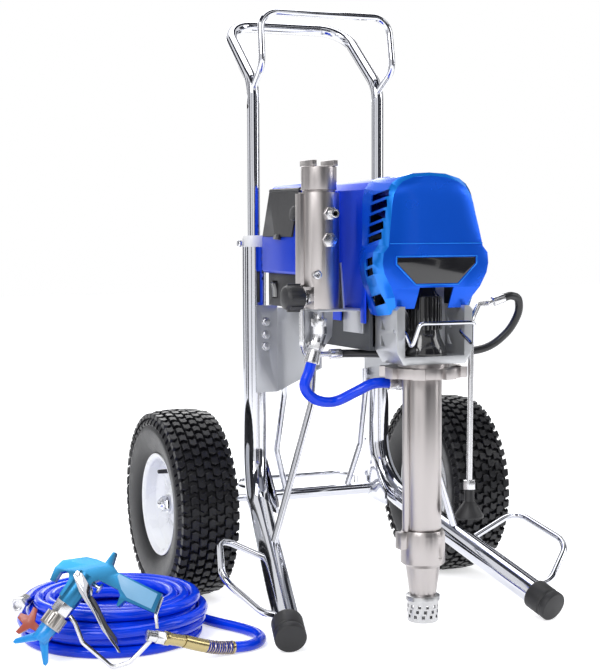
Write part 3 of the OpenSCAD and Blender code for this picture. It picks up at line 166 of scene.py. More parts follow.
soft_box("key_box", (-2.6, -2.2, 2.6), (0.0, -0.2, 0.5), 1.6, 1.6, 62.0)
soft_box("fill_box", (2.8, -2.0, 1.6), (0.0, -0.2, 0.5), 1.4, 2.0, 34.0)
soft_box("top_box", (0.0, 0.4, 3.2), (0.0, -0.2, 0.4), 2.2, 2.2, 40.0)
soft_box("back_box", (0.6, 3.0, 1.8), (0.0, 0.0, 0.5), 2.4, 1.4, 40.0)

flag_dark = bpy.data.materials.new("flag_cloth")
flag_dark.use_nodes = True
flag_shader = flag_dark.node_tree.nodes["Principled BSDF"]
flag_shader.inputs["Base Color"].default_value = (0.012, 0.014, 0.022, 1.0)
flag_shader.inputs["Roughness"].default_value = 0.9


def hang_flag(name, *moves):
    """A dark cloth of 1 m, put in its place by the moves, that shows only in gloss and through glass."""
    bpy.ops.object.select_all(action="DESELECT")
    bpy.ops.mesh.primitive_plane_add(size=1.0, location=(0.0, 0.0, 0.0))
    flag = bpy.context.object
    flag.name = name
    for move in moves:
        flag.data.transform(move)
    flag.data.materials.append(flag_dark)
    flag.visible_camera = False
    flag.visible_shadow = False
    flag.visible_diffuse = False
    return flag


flag_height, flag_middle = 3.0, 1.52
# Each flag's direction from the cart in degrees, its width and its distance.
for flag_count, (azimuth, width, distance) in enumerate((
        (-178.0, 0.8, 3.2), (-139.0, 0.35, 3.4), (-87.0, 3.1, 4.6), (-50.0, 2.0, 3.4), (-12.0, 1.5, 3.2),
        (32.0, 1.2, 3.4), (74.0, 1.5, 4.2), (122.0, 1.2, 4.2), (158.0, 0.7, 3.4))):
    flag = hang_flag("flag_%d" % flag_count, Matrix.Diagonal((width, flag_height, 1.0, 1.0)),
                     Matrix.Rotation(math.radians(90.0), 4, "X"),
                     Matrix.Translation((0.0, distance, flag_middle)),
                     Matrix.Rotation(math.radians(azimuth - 90.0), 4, "Z"))
ceiling_flag = hang_flag("ceiling_flag",
                         Matrix.Translation((0.0, -0.6, 3.4)) @ Matrix.Diagonal((5.0, 5.0, 1.0, 1.0)))
scene.view_settings.view_transform = "Standard"


# ---------------------------------------------------------------- Paint hose
# Nylon pressure hose, braided inside and covered with glossy blue polyurethane. Its gun end
# is held by a brass ferrule and a wound wire guard, and the rest lies on the floor in a coil.
hose_r = 0.0085
coil_r = 0.1465
coil_x, coil_y = -0.445, -0.205
coil_step = 0.0176         # from turn to turn, across and up
coil_turns = 14.39
layer_turns = 3.75
layer_change = 0.25        # share of a turn over which the hose climbs half a layer
turn_steps = 72
lay = 23.7                 # degrees that the coil and the gun are turned, seen from above
guard_end = Vector((-0.314, -0.387, 0.0108))
lead_points = [(-0.286, -0.381, 0.0088), (-0.265, -0.368, 0.0086), (-0.252, -0.347, 0.0086),
               (-0.249, -0.322, 0.0086), (-0.254, -0.296, 0.0086), (-0.264, -0.270, 0.0086),
               (-0.277, -0.244, 0.0086), (-0.288, -0.218, 0.0086), (-0.2948, -0.1965, 0.0086)]


def coil_point(t):
    """The middle of the hose after t turns: out to in on one layer, in to out on the next."""
    part = t % (2 * layer_turns)
    fold = min(part, 2 * layer_turns - part)
    near = round(t / layer_turns)
    step = (t - near * layer_turns) / layer_change
    if abs(step) < 1.0:
        layer = max(0.0, 0.0 if near == 0 else near + (step - 1.0) / 2.0)
    else:
        layer = math.floor(t / layer_turns)
    angle = math.radians(40.0 - lay + 360.0 * t)
    radius = coil_r - coil_step * fold
    return Vector((coil_x + radius * math.cos(angle), coil_y + radius * math.sin(angle),
                   hose_r + 0.0001 + coil_step * layer))


def smooth_line(points, pieces):
    """A curve through the points, with the given number of short pieces between each two."""
    line = []
    for i in range(len(points) - 1):
        before = points[max(i - 1, 0)]
        here, there = points[i], points[i + 1]
        after = points[min(i + 2, len(points) - 1)]
        for k in range(pieces):
            u = k / pieces
            line.append(0.5 * (2 * here + (there - before) * u
                               + (2 * before - 5 * here + 4 * there - after) * u * u
                               + (3 * here - before - 3 * there + after) * u ** 3))
    line.append(points[-1].copy())
    return line


def curve_piece(name, line, radius, sides=5):
    """A round curve of one open spline along the line."""
    data = bpy.data.curves.new(name, "CURVE")
    data.dimensions = "3D"
    data.bevel_depth = radius
    data.bevel_resolution = sides
    data.use_fill_caps = True
    spline = data.splines.new("POLY")
    spline.points.add(len(line) - 1)
    for point, place in zip(spline.points, line):
        point.co = (place.x, place.y, place.z, 1.0)
    spline.use_smooth = True
    piece = bpy.data.objects.new(name, data)
    scene.collection.objects.link(piece)
    return piece


def finish(name, colour, metal, rough, rough_swing=0.05, grain=60.0, bump=0.0, bump_scale=400.0,
           coat=0.0, tint=0.06, stretch=(1.0, 1.0, 1.0), level=0.5):
    """A finish of one colour with its own slight cloud, sheen and grain."""
    made = bpy.data.materials.new(name)
    made.use_nodes = True
    tree = made.node_tree
    shader = tree.nodes["Principled BSDF"]
    shader.inputs["Metallic"].default_value = metal
    shader.inputs["Coat Weight"].default_value = coat
    shader.inputs["Coat Roughness"].default_value = 0.06
    shader.inputs["Specular IOR Level"].default_value = level
    place = tree.nodes.new("ShaderNodeTexCoord")
    spread = tree.nodes.new("ShaderNodeMapping")
    spread.inputs["Scale"].default_value = stretch
    tree.links.new(place.outputs["Object"], spread.inputs["Vector"])
    cloud = tree.nodes.new("ShaderNodeTexNoise")
    cloud.inputs["Scale"].default_value = grain
    cloud.inputs["Detail"].default_value = 4.0
    tree.links.new(spread.outputs[0], cloud.inputs["Vector"])
    shade = tree.nodes.new("ShaderNodeMix")
    shade.data_type = "RGBA"
    shade.inputs["A"].default_value = tuple(c * (1.0 - tint) for c in colour) + (1.0,)
    shade.inputs["B"].default_value = tuple(min(1.0, c * (1.0 + tint)) for c in colour) + (1.0,)
    tree.links.new(cloud.outputs["Fac"], shade.inputs["Factor"])
    tree.links.new(shade.outputs["Result"], shader.inputs["Base Color"])
    gloss = tree.nodes.new("ShaderNodeMapRange")
    gloss.inputs["To Min"].default_value = max(0.02, rough - rough_swing)
    gloss.inputs["To Max"].default_value = rough + rough_swing
    tree.links.new(cloud.outputs["Fac"], gloss.inputs["Value"])
    tree.links.new(gloss.outputs[0], shader.inputs["Roughness"])
    if bump:
        fine = tree.nodes.new("ShaderNodeTexNoise")
        fine.inputs["Scale"].default_value = bump_scale
        fine.inputs["Detail"].default_value = 3.0
        tree.links.new(spread.outputs[0], fine.inputs["Vector"])
        lift = tree.nodes.new("ShaderNodeBump")
        lift.inputs["Strength"].default_value = bump
        lift.inputs["Distance"].default_value = 0.0006
        tree.links.new(fine.outputs["Fac"], lift.inputs["Height"])
        tree.links.new(lift.outputs[0], shader.inputs["Normal"])
    return made


weld = 0.00001             # points closer than this are one


def pick(piece):
    """The piece alone is selected and active."""
    bpy.ops.object.select_all(action="DESELECT")
    piece.select_set(True)
    bpy.context.view_layer.objects.active = piece


def merged_copy(node, name):
    """A copy of a solid with its loose triangles merged into whole faces."""
    source = nodes[node]
    piece = source.copy()
    piece.data = source.data.copy()
    piece.name = name
    piece.parent = None
    piece.hide_render = piece.hide_viewport = False
    for key in list(piece.keys()):
        del piece[key]
    scene.collection.objects.link(piece)
    pick(piece)
    bpy.ops.object.mode_set(mode="EDIT")
    bpy.ops.mesh.select_all(action="SELECT")
    bpy.ops.mesh.remove_doubles(threshold=weld)
    bpy.ops.mesh.dissolve_limited(angle_limit=math.radians(1.5))
    bpy.ops.object.mode_set(mode="OBJECT")
    return piece


def soften(piece, width, steps, angle):
    """Rounds the edges of the active piece that are sharper than the angle in degrees."""
    bevel = piece.modifiers.new("edge", "BEVEL")
    bevel.width = width
    bevel.segments = steps
    bevel.limit_method = "ANGLE"
    bevel.angle_limit = math.radians(angle)
    bpy.ops.object.modifier_apply(modifier="edge")


def eased(node, name, body, material, edge, steps, angle, smooth=35.0, part=None):
    """A merged copy of a solid, or of the part of it asked for, with its sharp edges rounded a little."""
    piece = merged_copy(node, name)
    if part:
        shape = bmesh.new()
        shape.from_mesh(piece.data)
        left_out = [face for face in shape.faces if not part(face.calc_center_median())]
        bmesh.ops.delete(shape, geom=left_out, context="FACES")
        shape.to_mesh(piece.data)
        shape.free()
    soften(piece, edge, steps, angle)
    bpy.ops.object.shade_smooth_by_angle(angle=math.radians(smooth))
    piece.data.materials.clear()
    piece.data.materials.append(material)
    for face in piece.data.polygons:
        face.material_index = 0
    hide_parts(node)
    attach(piece, body)
    return piece


hose_blue = finish("hose_cover", (0.002, 0.055, 0.86), 0.0, 0.16, 0.04, 30.0, 0.04, 260.0, 0.12, 0.08,
                   level=0.3)

rings = math.ceil(coil_turns * turn_steps)
coil_run = [coil_point(coil_turns * i / rings) for i in range(rings + 1)]
start_way = coil_run[1] - coil_run[0]
start_way.z = 0.0
coil_start = coil_run[0] - start_way.normalized() * 2 * hose_r
end_way = coil_run[-1] - coil_run[-2]
end_way.z = 0.0
coil_end = coil_run[-1] + end_way.normalized() * 2 * hose_r
lead_line = smooth_line([guard_end] + [Vector(p) for p in lead_points] + [coil_start, coil_run[0]], 5)
hose_line = lead_line + coil_run[1:] + [coil_end]
hose = curve_piece("paint_hose", hose_line, hose_r, 7)
hose.data.materials.append(hose_blue)
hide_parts("hose_coil", "hose_lead")
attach(hose, "cart")
hose_side = -0.3           # what lies left of here belongs to the loose hose
zinc = finish("zinc_plate", (0.66, 0.66, 0.68), 1.0, 0.26, 0.06, 90.0, 0.05, 900.0, 0.0, 0.05)
end_nut = eased("hose_fittings", "hose_end_nut", "cart", zinc, 0.0006, 2, 40.0,
                part=lambda p: p.x < hose_side)


# ---------------------------------------------------------------- Frame tubes, feet and collars
# Two 42 mm steel tubes, chromed, each bent once from the upright into the leg. A rubber foot
# is pressed on each leg and a nylon collar closes the top, where the handle slides in.
tube_x, tube_y, tube_r = 0.122, -0.004, 0.021
tube_top, leg_len, leg_bend = 0.612, 0.463, 0.110
fall, splay = math.radians(20.0), math.radians(15.0)
leg_way = Vector((math.sin(splay) * math.cos(fall), -math.cos(splay) * math.cos(fall), -math.sin(fall)))
leg_corner = Vector((tube_x, tube_y, leg_len * math.sin(fall) + 0.025 * math.cos(fall)))
leg_end = leg_corner + leg_way * leg_len


def rounded(points, bend, pieces=10):
    """The points with every corner bent to one radius."""
    points = [Vector(p) for p in points]
    line = [points[0]]
    for before, here, after in zip(points, points[1:], points[2:]):
        back = (here - before).normalized()
        ahead = (after - here).normalized()
        turn = back.angle(ahead)
        if turn < 1e-4:
            line.append(here)
            continue
        cut = bend * math.tan(turn / 2)
        inward = (ahead - back * back.dot(ahead)).normalized()
        middle = here - back * cut + inward * bend
        line += [middle - inward * bend * math.cos(turn * k / pieces)
                 + back * bend * math.sin(turn * k / pieces) for k in range(pieces + 1)]
    return line + [points[-1]]


def tube_piece(name, line, radius, body, slot, material, *stands_for, sides=6):
    """A bent rod or tube along the line, as a mesh."""
    rod = curve_piece(name, line, radius, sides)
    pick(rod)
    bpy.ops.object.convert(target="MESH")
    rod = bpy.context.object
    bpy.ops.object.shade_smooth_by_angle(angle=math.radians(50.0))
    rod.data.materials.clear()
    rod.data.materials.append(material)
    if stands_for:
        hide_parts(*stands_for)
    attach(rod, body)
    return rod


def mirrored(points):
    """The points on the other side of the cart."""
    return [Vector((-p[0], p[1], p[2])) for p in points]


def joined(name, pieces):
    """The pieces made one, under the first one's name."""
    bpy.ops.object.select_all(action="DESELECT")
    for piece in pieces:
        piece.select_set(True)
    bpy.context.view_layer.objects.active = pieces[0]
    bpy.ops.object.join()
    whole = bpy.context.object
    whole.name = name
    return whole


chrome = finish("chromed_steel", (0.66, 0.67, 0.72), 1.0, 0.07, 0.03, 25.0, 0.0, 400.0, 0.0, 0.03)
frame_line = rounded([(tube_x, tube_y, tube_top), leg_corner, leg_end - leg_way * 0.012], leg_bend, 22)
for side, line in (("right", frame_line), ("left", mirrored(frame_line))):
    tube_piece(side + "_upright_and_leg", line, tube_r, "cart", "chromed_tube", chrome,
               side + "_frame_tube", sides=9)
foot_rubber = finish("foot_rubber", (0.016, 0.016, 0.018), 0.0, 0.5, 0.1, 60.0, 0.25, 900.0, 0.0, 0.2)
eased("foot_caps", "rubber_feet", "cart", foot_rubber, 0.0014, 3, 40.0)
nylon_white = finish("white_nylon", (0.8, 0.8, 0.81), 0.0, 0.35, 0.06, 40.0, 0.06, 500.0, 0.0, 0.04)
eased("slide_collars", "handle_collars", "cart", nylon_white, 0.0008, 2, 40.0)


# ---------------------------------------------------------------- Axle and the rods that brace the cart
# A steel axle runs in a tube between two gusset plates that are welded to the legs. Bent
# rods brace the chassis to the legs and the axle, and a hoop behind carries the hose.
eased("axle_tube", "axle_tube_and_gussets", "cart", chrome, 0.0006, 2, 40.0)
eased("axle_shaft", "axle_and_nuts", "cart", chrome, 0.0005, 2, 40.0)
deck_z, axle_z = 0.495, 0.165
chassis_x, chassis_front = 0.088, -0.2113


def leg_at(y):
    """The point on the right leg's middle line at that y."""
    return leg_corner + leg_way * ((y - tube_y) / leg_way.y)


strut_top = Vector((0.095, chassis_front + 0.012, deck_z - 0.072))
strut_line = rounded([leg_at(chassis_front + 0.006), (strut_top.x + 0.004, strut_top.y - 0.002, 0.355),
                      strut_top + Vector((0.0, 0.0, 0.012))], 0.06, 8)
stay_top = Vector((0.0795, -0.0393, deck_z - 0.14 + 0.024))
stay_line = rounded([stay_top + Vector((0, 0, 0.012)), stay_top - Vector((0, 0, 0.026)),
                     (0.083, -0.01, 0.248), (0.06, 0.0, axle_z + 0.004)], 0.04, 8)
hoop_line = rounded([(-0.082, 0.004, axle_z + 0.002), (-0.139, 0.12, 0.176), (0.139, 0.12, 0.176),
                     (0.082, 0.004, axle_z + 0.002)], 0.034, 12)
brace_pieces = []
for brace_name, brace_line, brace_r in (
        ("strut", strut_line, 0.006), ("strut_b", mirrored(strut_line), 0.006),
        ("stay", stay_line, 0.0055), ("stay_b", mirrored(stay_line), 0.0055), ("hoop", hoop_line, 0.0045)):
    brace_pieces.append(tube_piece(brace_name, brace_line, brace_r, "cart", "chromed_tube", chrome))
for side in (-1, 1):
    for boss_at, boss_len in ((Vector((side * chassis_x, strut_top.y, strut_top.z)), 0.014),
                              (Vector((side * stay_top.x, stay_top.y, stay_top.z)), 0.0055)):
        bpy.ops.object.select_all(action="DESELECT")
        bpy.ops.mesh.primitive_cylinder_add(vertices=32, radius=0.008, depth=boss_len)
        boss = bpy.context.object
        boss.data.transform(Matrix.Translation(boss_at + Vector((side * boss_len / 2, 0.0, 0.0)))
                            @ Matrix.Rotation(math.radians(90.0), 4, "Y"))
        bpy.ops.object.shade_smooth_by_angle(angle=math.radians(40.0))
        boss.data.materials.append(chrome)
        brace_pieces.append(boss)
braces = joined("brace_rods", brace_pieces)
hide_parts("frame_rods")
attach(braces, "cart")
rack_line = rounded([leg_at(-0.226), (0.278, -0.233, 0.147), (0.314, -0.343, 0.107), (0.262, -0.373, 0.056),
                     leg_at(-0.371)], 0.034, 12)
rack_r = 0.0055
racks = joined("hose_rack_rods", [
    tube_piece("rack_right", rack_line, rack_r, "cart", "chromed_tube", chrome),
    tube_piece("rack_left", mirrored(rack_line), rack_r, "cart", "chromed_tube", chrome)])
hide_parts("hose_racks")
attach(racks, "cart")


# ---------------------------------------------------------------- Wheels
# Pneumatic tyres of 13 inches with a knobbly turf tread, on white pressed steel rims. Each
# rim's hub runs on an oiled bush, and a rubber valve stem stands in the wheel disc.
wheel_x, wheel_r, rim_r, tyre_w = 0.262, 0.165, 0.089, 0.112
tread_rubber = finish("tread_rubber", (0.008, 0.008, 0.0105), 0.0, 0.36, 0.1, 60.0, 0.3, 1300.0, 0.0, 0.2,
                      level=0.4)
rim_paint = finish("rim_paint", (0.93, 0.94, 0.95), 0.0, 0.28, 0.05, 25.0, 0.05, 150.0, 0.3, 0.04)


def mesh_piece(name, points, edges, faces):
    """An object of that mesh, in the scene."""
    data = bpy.data.meshes.new(name)
    data.from_pydata(points, edges, faces)
    piece = bpy.data.objects.new(name, data)
    scene.collection.objects.link(piece)
    return piece


def turned_ring(name, outline, steps, middle):
    """A ring spun round the axle from an outline of (radius, place along the axle) pairs."""
    ring = mesh_piece(name, [(p[1], 0.0, p[0]) for p in outline],
                      [(i, i + 1) for i in range(len(outline) - 1)], [])
    pick(ring)
    bpy.ops.object.mode_set(mode="EDIT")
    bpy.ops.mesh.select_all(action="SELECT")
    bpy.ops.mesh.spin(steps=steps, angle=math.radians(360.0), center=(0.0, 0.0, 0.0), axis=(1.0, 0.0, 0.0))
    bpy.ops.mesh.select_all(action="SELECT")
    bpy.ops.mesh.remove_doubles(threshold=weld)
    bpy.ops.mesh.normals_make_consistent(inside=False)
    bpy.ops.object.mode_set(mode="OBJECT")
    ring.data.transform(Matrix.Translation(middle))
    bpy.ops.object.shade_smooth_by_angle(angle=math.radians(42.0))
    return ring


casing_r = wheel_r - 0.0075


def shoulder(degrees, side):
    """A point of the casing's round shoulder on one side."""
    return (casing_r - 0.036 + 0.034 * math.cos(math.radians(degrees)),
            side * (tyre_w / 2 - 0.024 - 0.022 * math.sin(math.radians(degrees))))


tyre_outline = [(rim_r - 0.002, -0.038), (rim_r + 0.003, -0.042), (rim_r + 0.010, -0.0465)]
tyre_outline += [shoulder(a, -1) for a in range(-78, -20, 6)]
tyre_outline += [(casing_r - 0.003, -0.042), (casing_r - 0.0008, -0.030), (casing_r, -0.015),
                 (casing_r, 0.015), (casing_r - 0.0008, 0.030), (casing_r - 0.003, 0.042)]
tyre_outline += [shoulder(a, 1) for a in range(-24, -84, -6)]
tyre_outline += [(rim_r + 0.010, 0.0465), (rim_r + 0.003, 0.042), (rim_r - 0.002, 0.038),
                 (rim_r - 0.002, -0.038)]
# Each row of tread: shift by a share of a block, place across, radius of the foot, lean outwards, way
# of the chevron, half width, half length and height of a block.
row_blocks, tread_edge = 52, 0.0435
tread_rows = []
for row, x in enumerate((-tread_edge, -0.0290, -0.0145, 0.0, 0.0145, 0.0290, tread_edge)):
    drop = 0.0002 + 0.0052 * (abs(x) / tread_edge) ** 2.4
    tread_rows.append((0.5 * (row % 2), x, casing_r - 0.0010 - drop, math.degrees(x) * 0.42,
                       1 if row % 2 else -1, 0.0065, 0.0062, 0.0080))
for x, lean in ((0.0470, 58.0), (-0.0470, -58.0)):
    tread_rows.append((0.5, x, casing_r - 0.0140, lean, 1, 0.0072, 0.0058, 0.0040))
for side, sign in (("left", -1), ("right", 1)):
    middle = Vector((sign * wheel_x, 0.0, axle_z))
    tyre = turned_ring(side + "_tyre_casing", tyre_outline, 120, middle)
    tyre.data.materials.append(tread_rubber)
    points, faces = [], []
    for shift, x, foot_r, lean, way, half_w, half_l, top in tread_rows:
        notch = 0.0030 * way
        outline = ((-half_w, -half_l), (0.0, -half_l + notch), (half_w, -half_l), (half_w, half_l),
                   (0.0, half_l + notch), (-half_w, half_l))
        for k in range(row_blocks):
            place = (Matrix.Rotation(2.0 * math.pi * (k + shift) / row_blocks, 4, "X")
                     @ Matrix.Translation((x, 0.0, foot_r)) @ Matrix.Rotation(math.radians(lean), 4, "Y"))
            first = len(points)
            for z, grow in ((0.0, 1.06), (top - 0.0008, 0.94), (top, 0.84)):
                points += [place @ Vector((px * grow, py * grow, z)) for px, py in outline]
            for ring in (0, 6):
                faces += [(first + ring + j, first + ring + (j + 1) % 6, first + ring + 6 + (j + 1) % 6,
                           first + ring + 6 + j) for j in range(6)]
            for corners in ((12, 13, 16, 17), (13, 14, 15, 16), (5, 4, 1, 0), (4, 3, 2, 1)):
                faces.append(tuple(first + corner for corner in corners))
    tread = mesh_piece(side + "_tread", points, [], faces)
    tread.data.transform(Matrix.Translation(middle))
    tread.data.materials.append(tread_rubber)
    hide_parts(side + "_tyre")
    for piece in (tyre, tread):
        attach(piece, side + "_wheel")
    eased(side + "_rim", side + "_pressed_rim", side + "_wheel", rim_paint,
          0.0005, 1, 50.0, 45.0)
    eased(side + "_hub_fittings", side + "_bush_and_valve", side + "_wheel", foot_rubber,
          0.0004, 1, 50.0)


# ---------------------------------------------------------------- Handle
# A chromed U of 22 mm tube that slides in the collars, with nylon glides on its lower ends
# and a loop of rod in front for the hose. A plunger in each collar locks it up or down.
handle_foot, handle_neck, handle_top, handle_back = 0.525, 0.900, 1.017, 0.137
handle_line = rounded([(-tube_x, tube_y, handle_foot), (-tube_x, tube_y, handle_neck),
                       (-tube_x + 0.001, handle_back, handle_top), (tube_x - 0.001, handle_back, handle_top),
                       (tube_x, tube_y, handle_neck), (tube_x, tube_y, handle_foot)], 0.054, 18)
handle_r = 0.011


def cut_away(piece, cutters, smooth):
    """Takes the cutters out of the piece and smooths it up to that angle in degrees."""
    tool = joined("cutters", cutters)
    pick(piece)
    cut = piece.modifiers.new("cut", "BOOLEAN")
    cut.operation = "DIFFERENCE"
    cut.object = tool
    cut.solver = "EXACT"
    bpy.ops.object.modifier_apply(modifier="cut")
    bpy.data.objects.remove(tool)
    bpy.ops.object.shade_smooth_by_angle(angle=math.radians(smooth))


handle = tube_piece("handle_u_tube", handle_line, handle_r, "handle", "chromed_tube", chrome, "handle_tube",
                    sides=8)
lock_holes = []
for side in (-1, 1):
    for hole_z in (tube_top + 0.006, tube_top + 0.246):
        bpy.ops.object.select_all(action="DESELECT")
        bpy.ops.mesh.primitive_cylinder_add(vertices=24, radius=0.0040, depth=2 * handle_r)
        hole = bpy.context.object
        hole.data.transform(Matrix.Translation((side * (tube_x + handle_r), tube_y, hole_z))
                            @ Matrix.Rotation(math.radians(90.0), 4, "Y"))
        lock_holes.append(hole)
cut_away(handle, lock_holes, 40.0)
loop_half = [(tube_x + 0.002, tube_y - 0.039, 1.019), (tube_x + 0.004, tube_y - 0.053, handle_neck + 0.026),
             (tube_x, tube_y, handle_neck - 0.010)]
loop_line = rounded(mirrored(loop_half)[::-1] + loop_half, 0.031, 14)
tube_piece("hose_loop_rod", loop_line, 0.006, "handle", "chromed_tube", chrome, "handle_loop")
for side in ("left", "right"):
    eased(side + "_lock_plunger", side + "_handle_lock", side + "_lock", chrome,
          0.0004, 2, 40.0)


# ---------------------------------------------------------------- Chassis and bolts
# A folded 3 mm steel sheet, silver painted, bolted to both uprights. It carries the motor
# and the gear case, and the front bolts also hold the struts.
sheet_paint = finish("silver_paint", (0.46, 0.47, 0.5), 0.6, 0.34, 0.06, 35.0, 0.08, 700.0, 0.15, 0.05)
eased("chassis_bracket", "folded_chassis", "cart", sheet_paint, 0.0007, 2, 40.0)
eased("fasteners", "bolts_and_pins", "cart", zinc, 0.0004, 2, 40.0)


# ---------------------------------------------------------------- Motor, gears and pump drive
# A brushless motor on the chassis deck turns a pinion. Its gear carries the crank, which
# strokes the pump through the connecting rod in the cast drive housing.
dark_cast = finish("dark_cast_iron", (0.09, 0.095, 0.105), 0.7, 0.5, 0.08, 80.0, 0.35, 700.0, 0.0, 0.12)
turned_steel = finish("turned_steel", (0.6, 0.6, 0.62), 1.0, 0.24, 0.06, 70.0, 0.04, 900.0, 0.0, 0.05)
silver_cast = finish("silver_cast_paint", (0.6, 0.61, 0.63), 0.75, 0.33, 0.06, 60.0, 0.22, 900.0, 0.1, 0.05)
for node, name, body, slot, material in (
        ("motor_casing", "motor_case", "cart", "dark_casting", dark_cast),
        ("gear_housing", "gear_case", "cart", "dark_casting", dark_cast),
        ("motor_rotor", "motor_shaft_and_fan", "motor_shaft_body", "bright_steel", turned_steel),
        ("crank_gear", "gear_and_crank", "crank_body", "bright_steel", turned_steel),
        ("connecting_rod", "drive_rod", "pump_rod", "dark_casting", dark_cast),
        ("piston_rod", "pump_piston_rod", "pump_rod", "bright_steel", turned_steel)):
    eased(node, name, body, material, 0.0004, 1, 45.0)
eased("drive_housing", "cast_drive_housing", "cart", silver_cast, 0.0016, 3, 35.0)


# ---------------------------------------------------------------- Covers
# Injection-moulded blue covers over the motor and the front of the drive, with louvres at
# both sides, a bare black plate on the front and a smoke-grey display window.
cover_blue = finish("cover_blue", (0.004, 0.105, 0.74), 0.5, 0.26, 0.04, 12.0, 0.0, 600.0, 0.08, 0.08,
                    level=0.25)
cover_dark = finish("cover_blue_deep", (0.001, 0.050, 0.68), 0.4, 0.32, 0.04, 12.0, 0.0, 700.0, 0.06, 0.08,
                    level=0.25)
# A lighter copy of the cover blue, painted as highlight on the face's rounded edges, round the plate and along
# the brow crease.
cover_highlight_blue = finish("cover_blue_painted_highlight", (0.006, 0.22, 0.84), 0.5, 0.22, 0.04, 12.0, 0.0, 600.0, 0.15, 0.08,
                    level=0.35)
# Half sections of the cover in millimetres, at a depth in metres, from the back edge to the rim of its
# face, each from the ridge down. The rim takes its depth from the face.
cover_sections = (
    (-0.367, ((0, 722.6), (30, 722.4), (58.5, 722), (71.6, 717), (82, 705), (86, 689), (86, 672), (86.2, 650),
              (86.5, 630), (87, 617), (90, 606), (91, 590), (90, 574), (85, 556), (80, 536), (74, 510))),
    (-0.397, ((0, 729), (28, 728), (55, 721), (67.5, 713), (76, 701), (80, 688), (82, 672), (85, 650),
              (87.5, 630), (89.5, 617), (96.5, 607), (98, 591), (96.5, 574), (90, 553), (82, 533), (74, 508))),
    (-0.426, ((0, 729.5), (28, 728), (53, 721), (65, 712.5), (73, 701), (76.5, 688), (79, 671), (83, 648),
              (85.5, 629), (88, 618), (96.5, 607), (97.8, 591), (96, 574), (87, 554), (77, 536), (68, 511))),
    (None, ((0, 724.5), (27, 722.5), (49, 715), (60, 706.5), (67, 695), (70.5, 683), (73, 667), (77, 646),
            (80, 628), (82, 616), (90.5, 606), (92, 590), (89, 575), (77, 553), (68, 538), (60, 520))))
across_face = (1.0, 0.68, 0.34, 0.0, -0.34, -0.68, -1.0)
brow_z, bend_z, plate_z = 0.706, 0.620, 0.552
brow_y, plate_y, cover_wall = -0.4375, -0.4513, 0.0025


def face_depth(z, share):
    """Depth of the cover's face at a height, a little fuller in the middle above the plate."""
    if z > brow_z:
        return brow_y + (z - brow_z) * 0.42
    if z > bend_z:
        return brow_y - (brow_z - z) * 0.155 - 0.0012 * (1.0 - share * share)
    if z > plate_z:
        return plate_y
    return plate_y + (plate_z - z) * 0.55


# Below row notch_row the face is open in the middle for the rod guard.
notch_row, notch_x = 13, 0.0295
grid = []
for i in range(len(cover_sections[3][1])):
    right = [Vector((part[1][i][0] / 1000, part[0], part[1][i][1] / 1000)) for part in cover_sections[:3]]
    rim_x, rim_z = cover_sections[3][1][i][0] / 1000, cover_sections[3][1][i][1] / 1000
    face = [Vector((rim_x * share, face_depth(rim_z, share) + (0.0016 if abs(share) == 1.0 else 0.0), rim_z))
            for share in across_face]
    if i >= notch_row:
        face[2].x, face[4].x = notch_x, -notch_x
    grid.append(right + face + [Vector((-p.x, p.y, p.z)) for p in reversed(right)])
columns = len(grid[0])
cover_points = [p for row in grid for p in row]
# Faces of kind 1, on the rounded edges where the face turns into the sides, get the painted highlight.
cover_faces, cover_highlight_mask = [], []
for i in range(len(grid) - 1):
    for j in range(columns - 1):
        if i >= notch_row and 5 <= j <= 6:
            continue
        corner = i * columns + j
        cover_faces.append((corner, corner + 1, corner + columns + 1, corner + columns))
        cover_highlight_mask.append(1 if j in (2, 9) or (i >= 11 and j in (1, 10)) else 0)
cover = mesh_piece("front_cover_shell", cover_points, [], cover_faces)
for face, kind in zip(cover.data.polygons, cover_highlight_mask):
    face.material_index = kind
cover.data.materials.append(cover_blue)
cover.data.materials.append(cover_highlight_blue)
pick(cover)
bpy.ops.object.mode_set(mode="EDIT")
bpy.ops.mesh.select_all(action="SELECT")
bpy.ops.mesh.remove_doubles(threshold=0.0001)
bpy.ops.mesh.normals_make_consistent(inside=False)
bpy.ops.object.mode_set(mode="OBJECT")
wall = cover.modifiers.new("wall", "SOLIDIFY")
wall.thickness = cover_wall
wall.offset = -1.0
bpy.ops.object.modifier_apply(modifier="wall")
soften(cover, 0.0011, 2, 17.0)
slot_lean, slot_deep = math.radians(-12.0), 0.030
# The middle of each louvre across, in depth and in height, its length and its height.
louvres = ((0.076, -0.409, 0.6935, 0.042, 0.0105), (0.078, -0.409, 0.6775, 0.044, 0.0120),
           (0.080, -0.409, 0.6610, 0.045, 0.0120), (0.083, -0.409, 0.6445, 0.044, 0.0120),
           (0.085, -0.409, 0.6285, 0.042, 0.0110), (0.094, -0.415, 0.5925, 0.022, 0.0120),
           (0.094, -0.413, 0.5765, 0.024, 0.0105), (0.080, -0.408, 0.533, 0.032, 0.0150))
slot_cutters = []
for side in (-1, 1):
    for slot_x, slot_y, slot_z, slot_len, slot_height in louvres:
        bpy.ops.object.select_all(action="DESELECT")
        bpy.ops.mesh.primitive_cube_add(size=1.0)
        cutter = bpy.context.object
        cutter.data.transform(Matrix.Translation((side * slot_x, slot_y, slot_z))
                              @ Matrix.Rotation(slot_lean, 4, "X")
                              @ Matrix.Diagonal((slot_deep, slot_len, slot_height, 1.0)))
        slot_cutters.append(cutter)
cut_away(cover, slot_cutters, 22.0)
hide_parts("front_cover")
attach(cover, "cart")
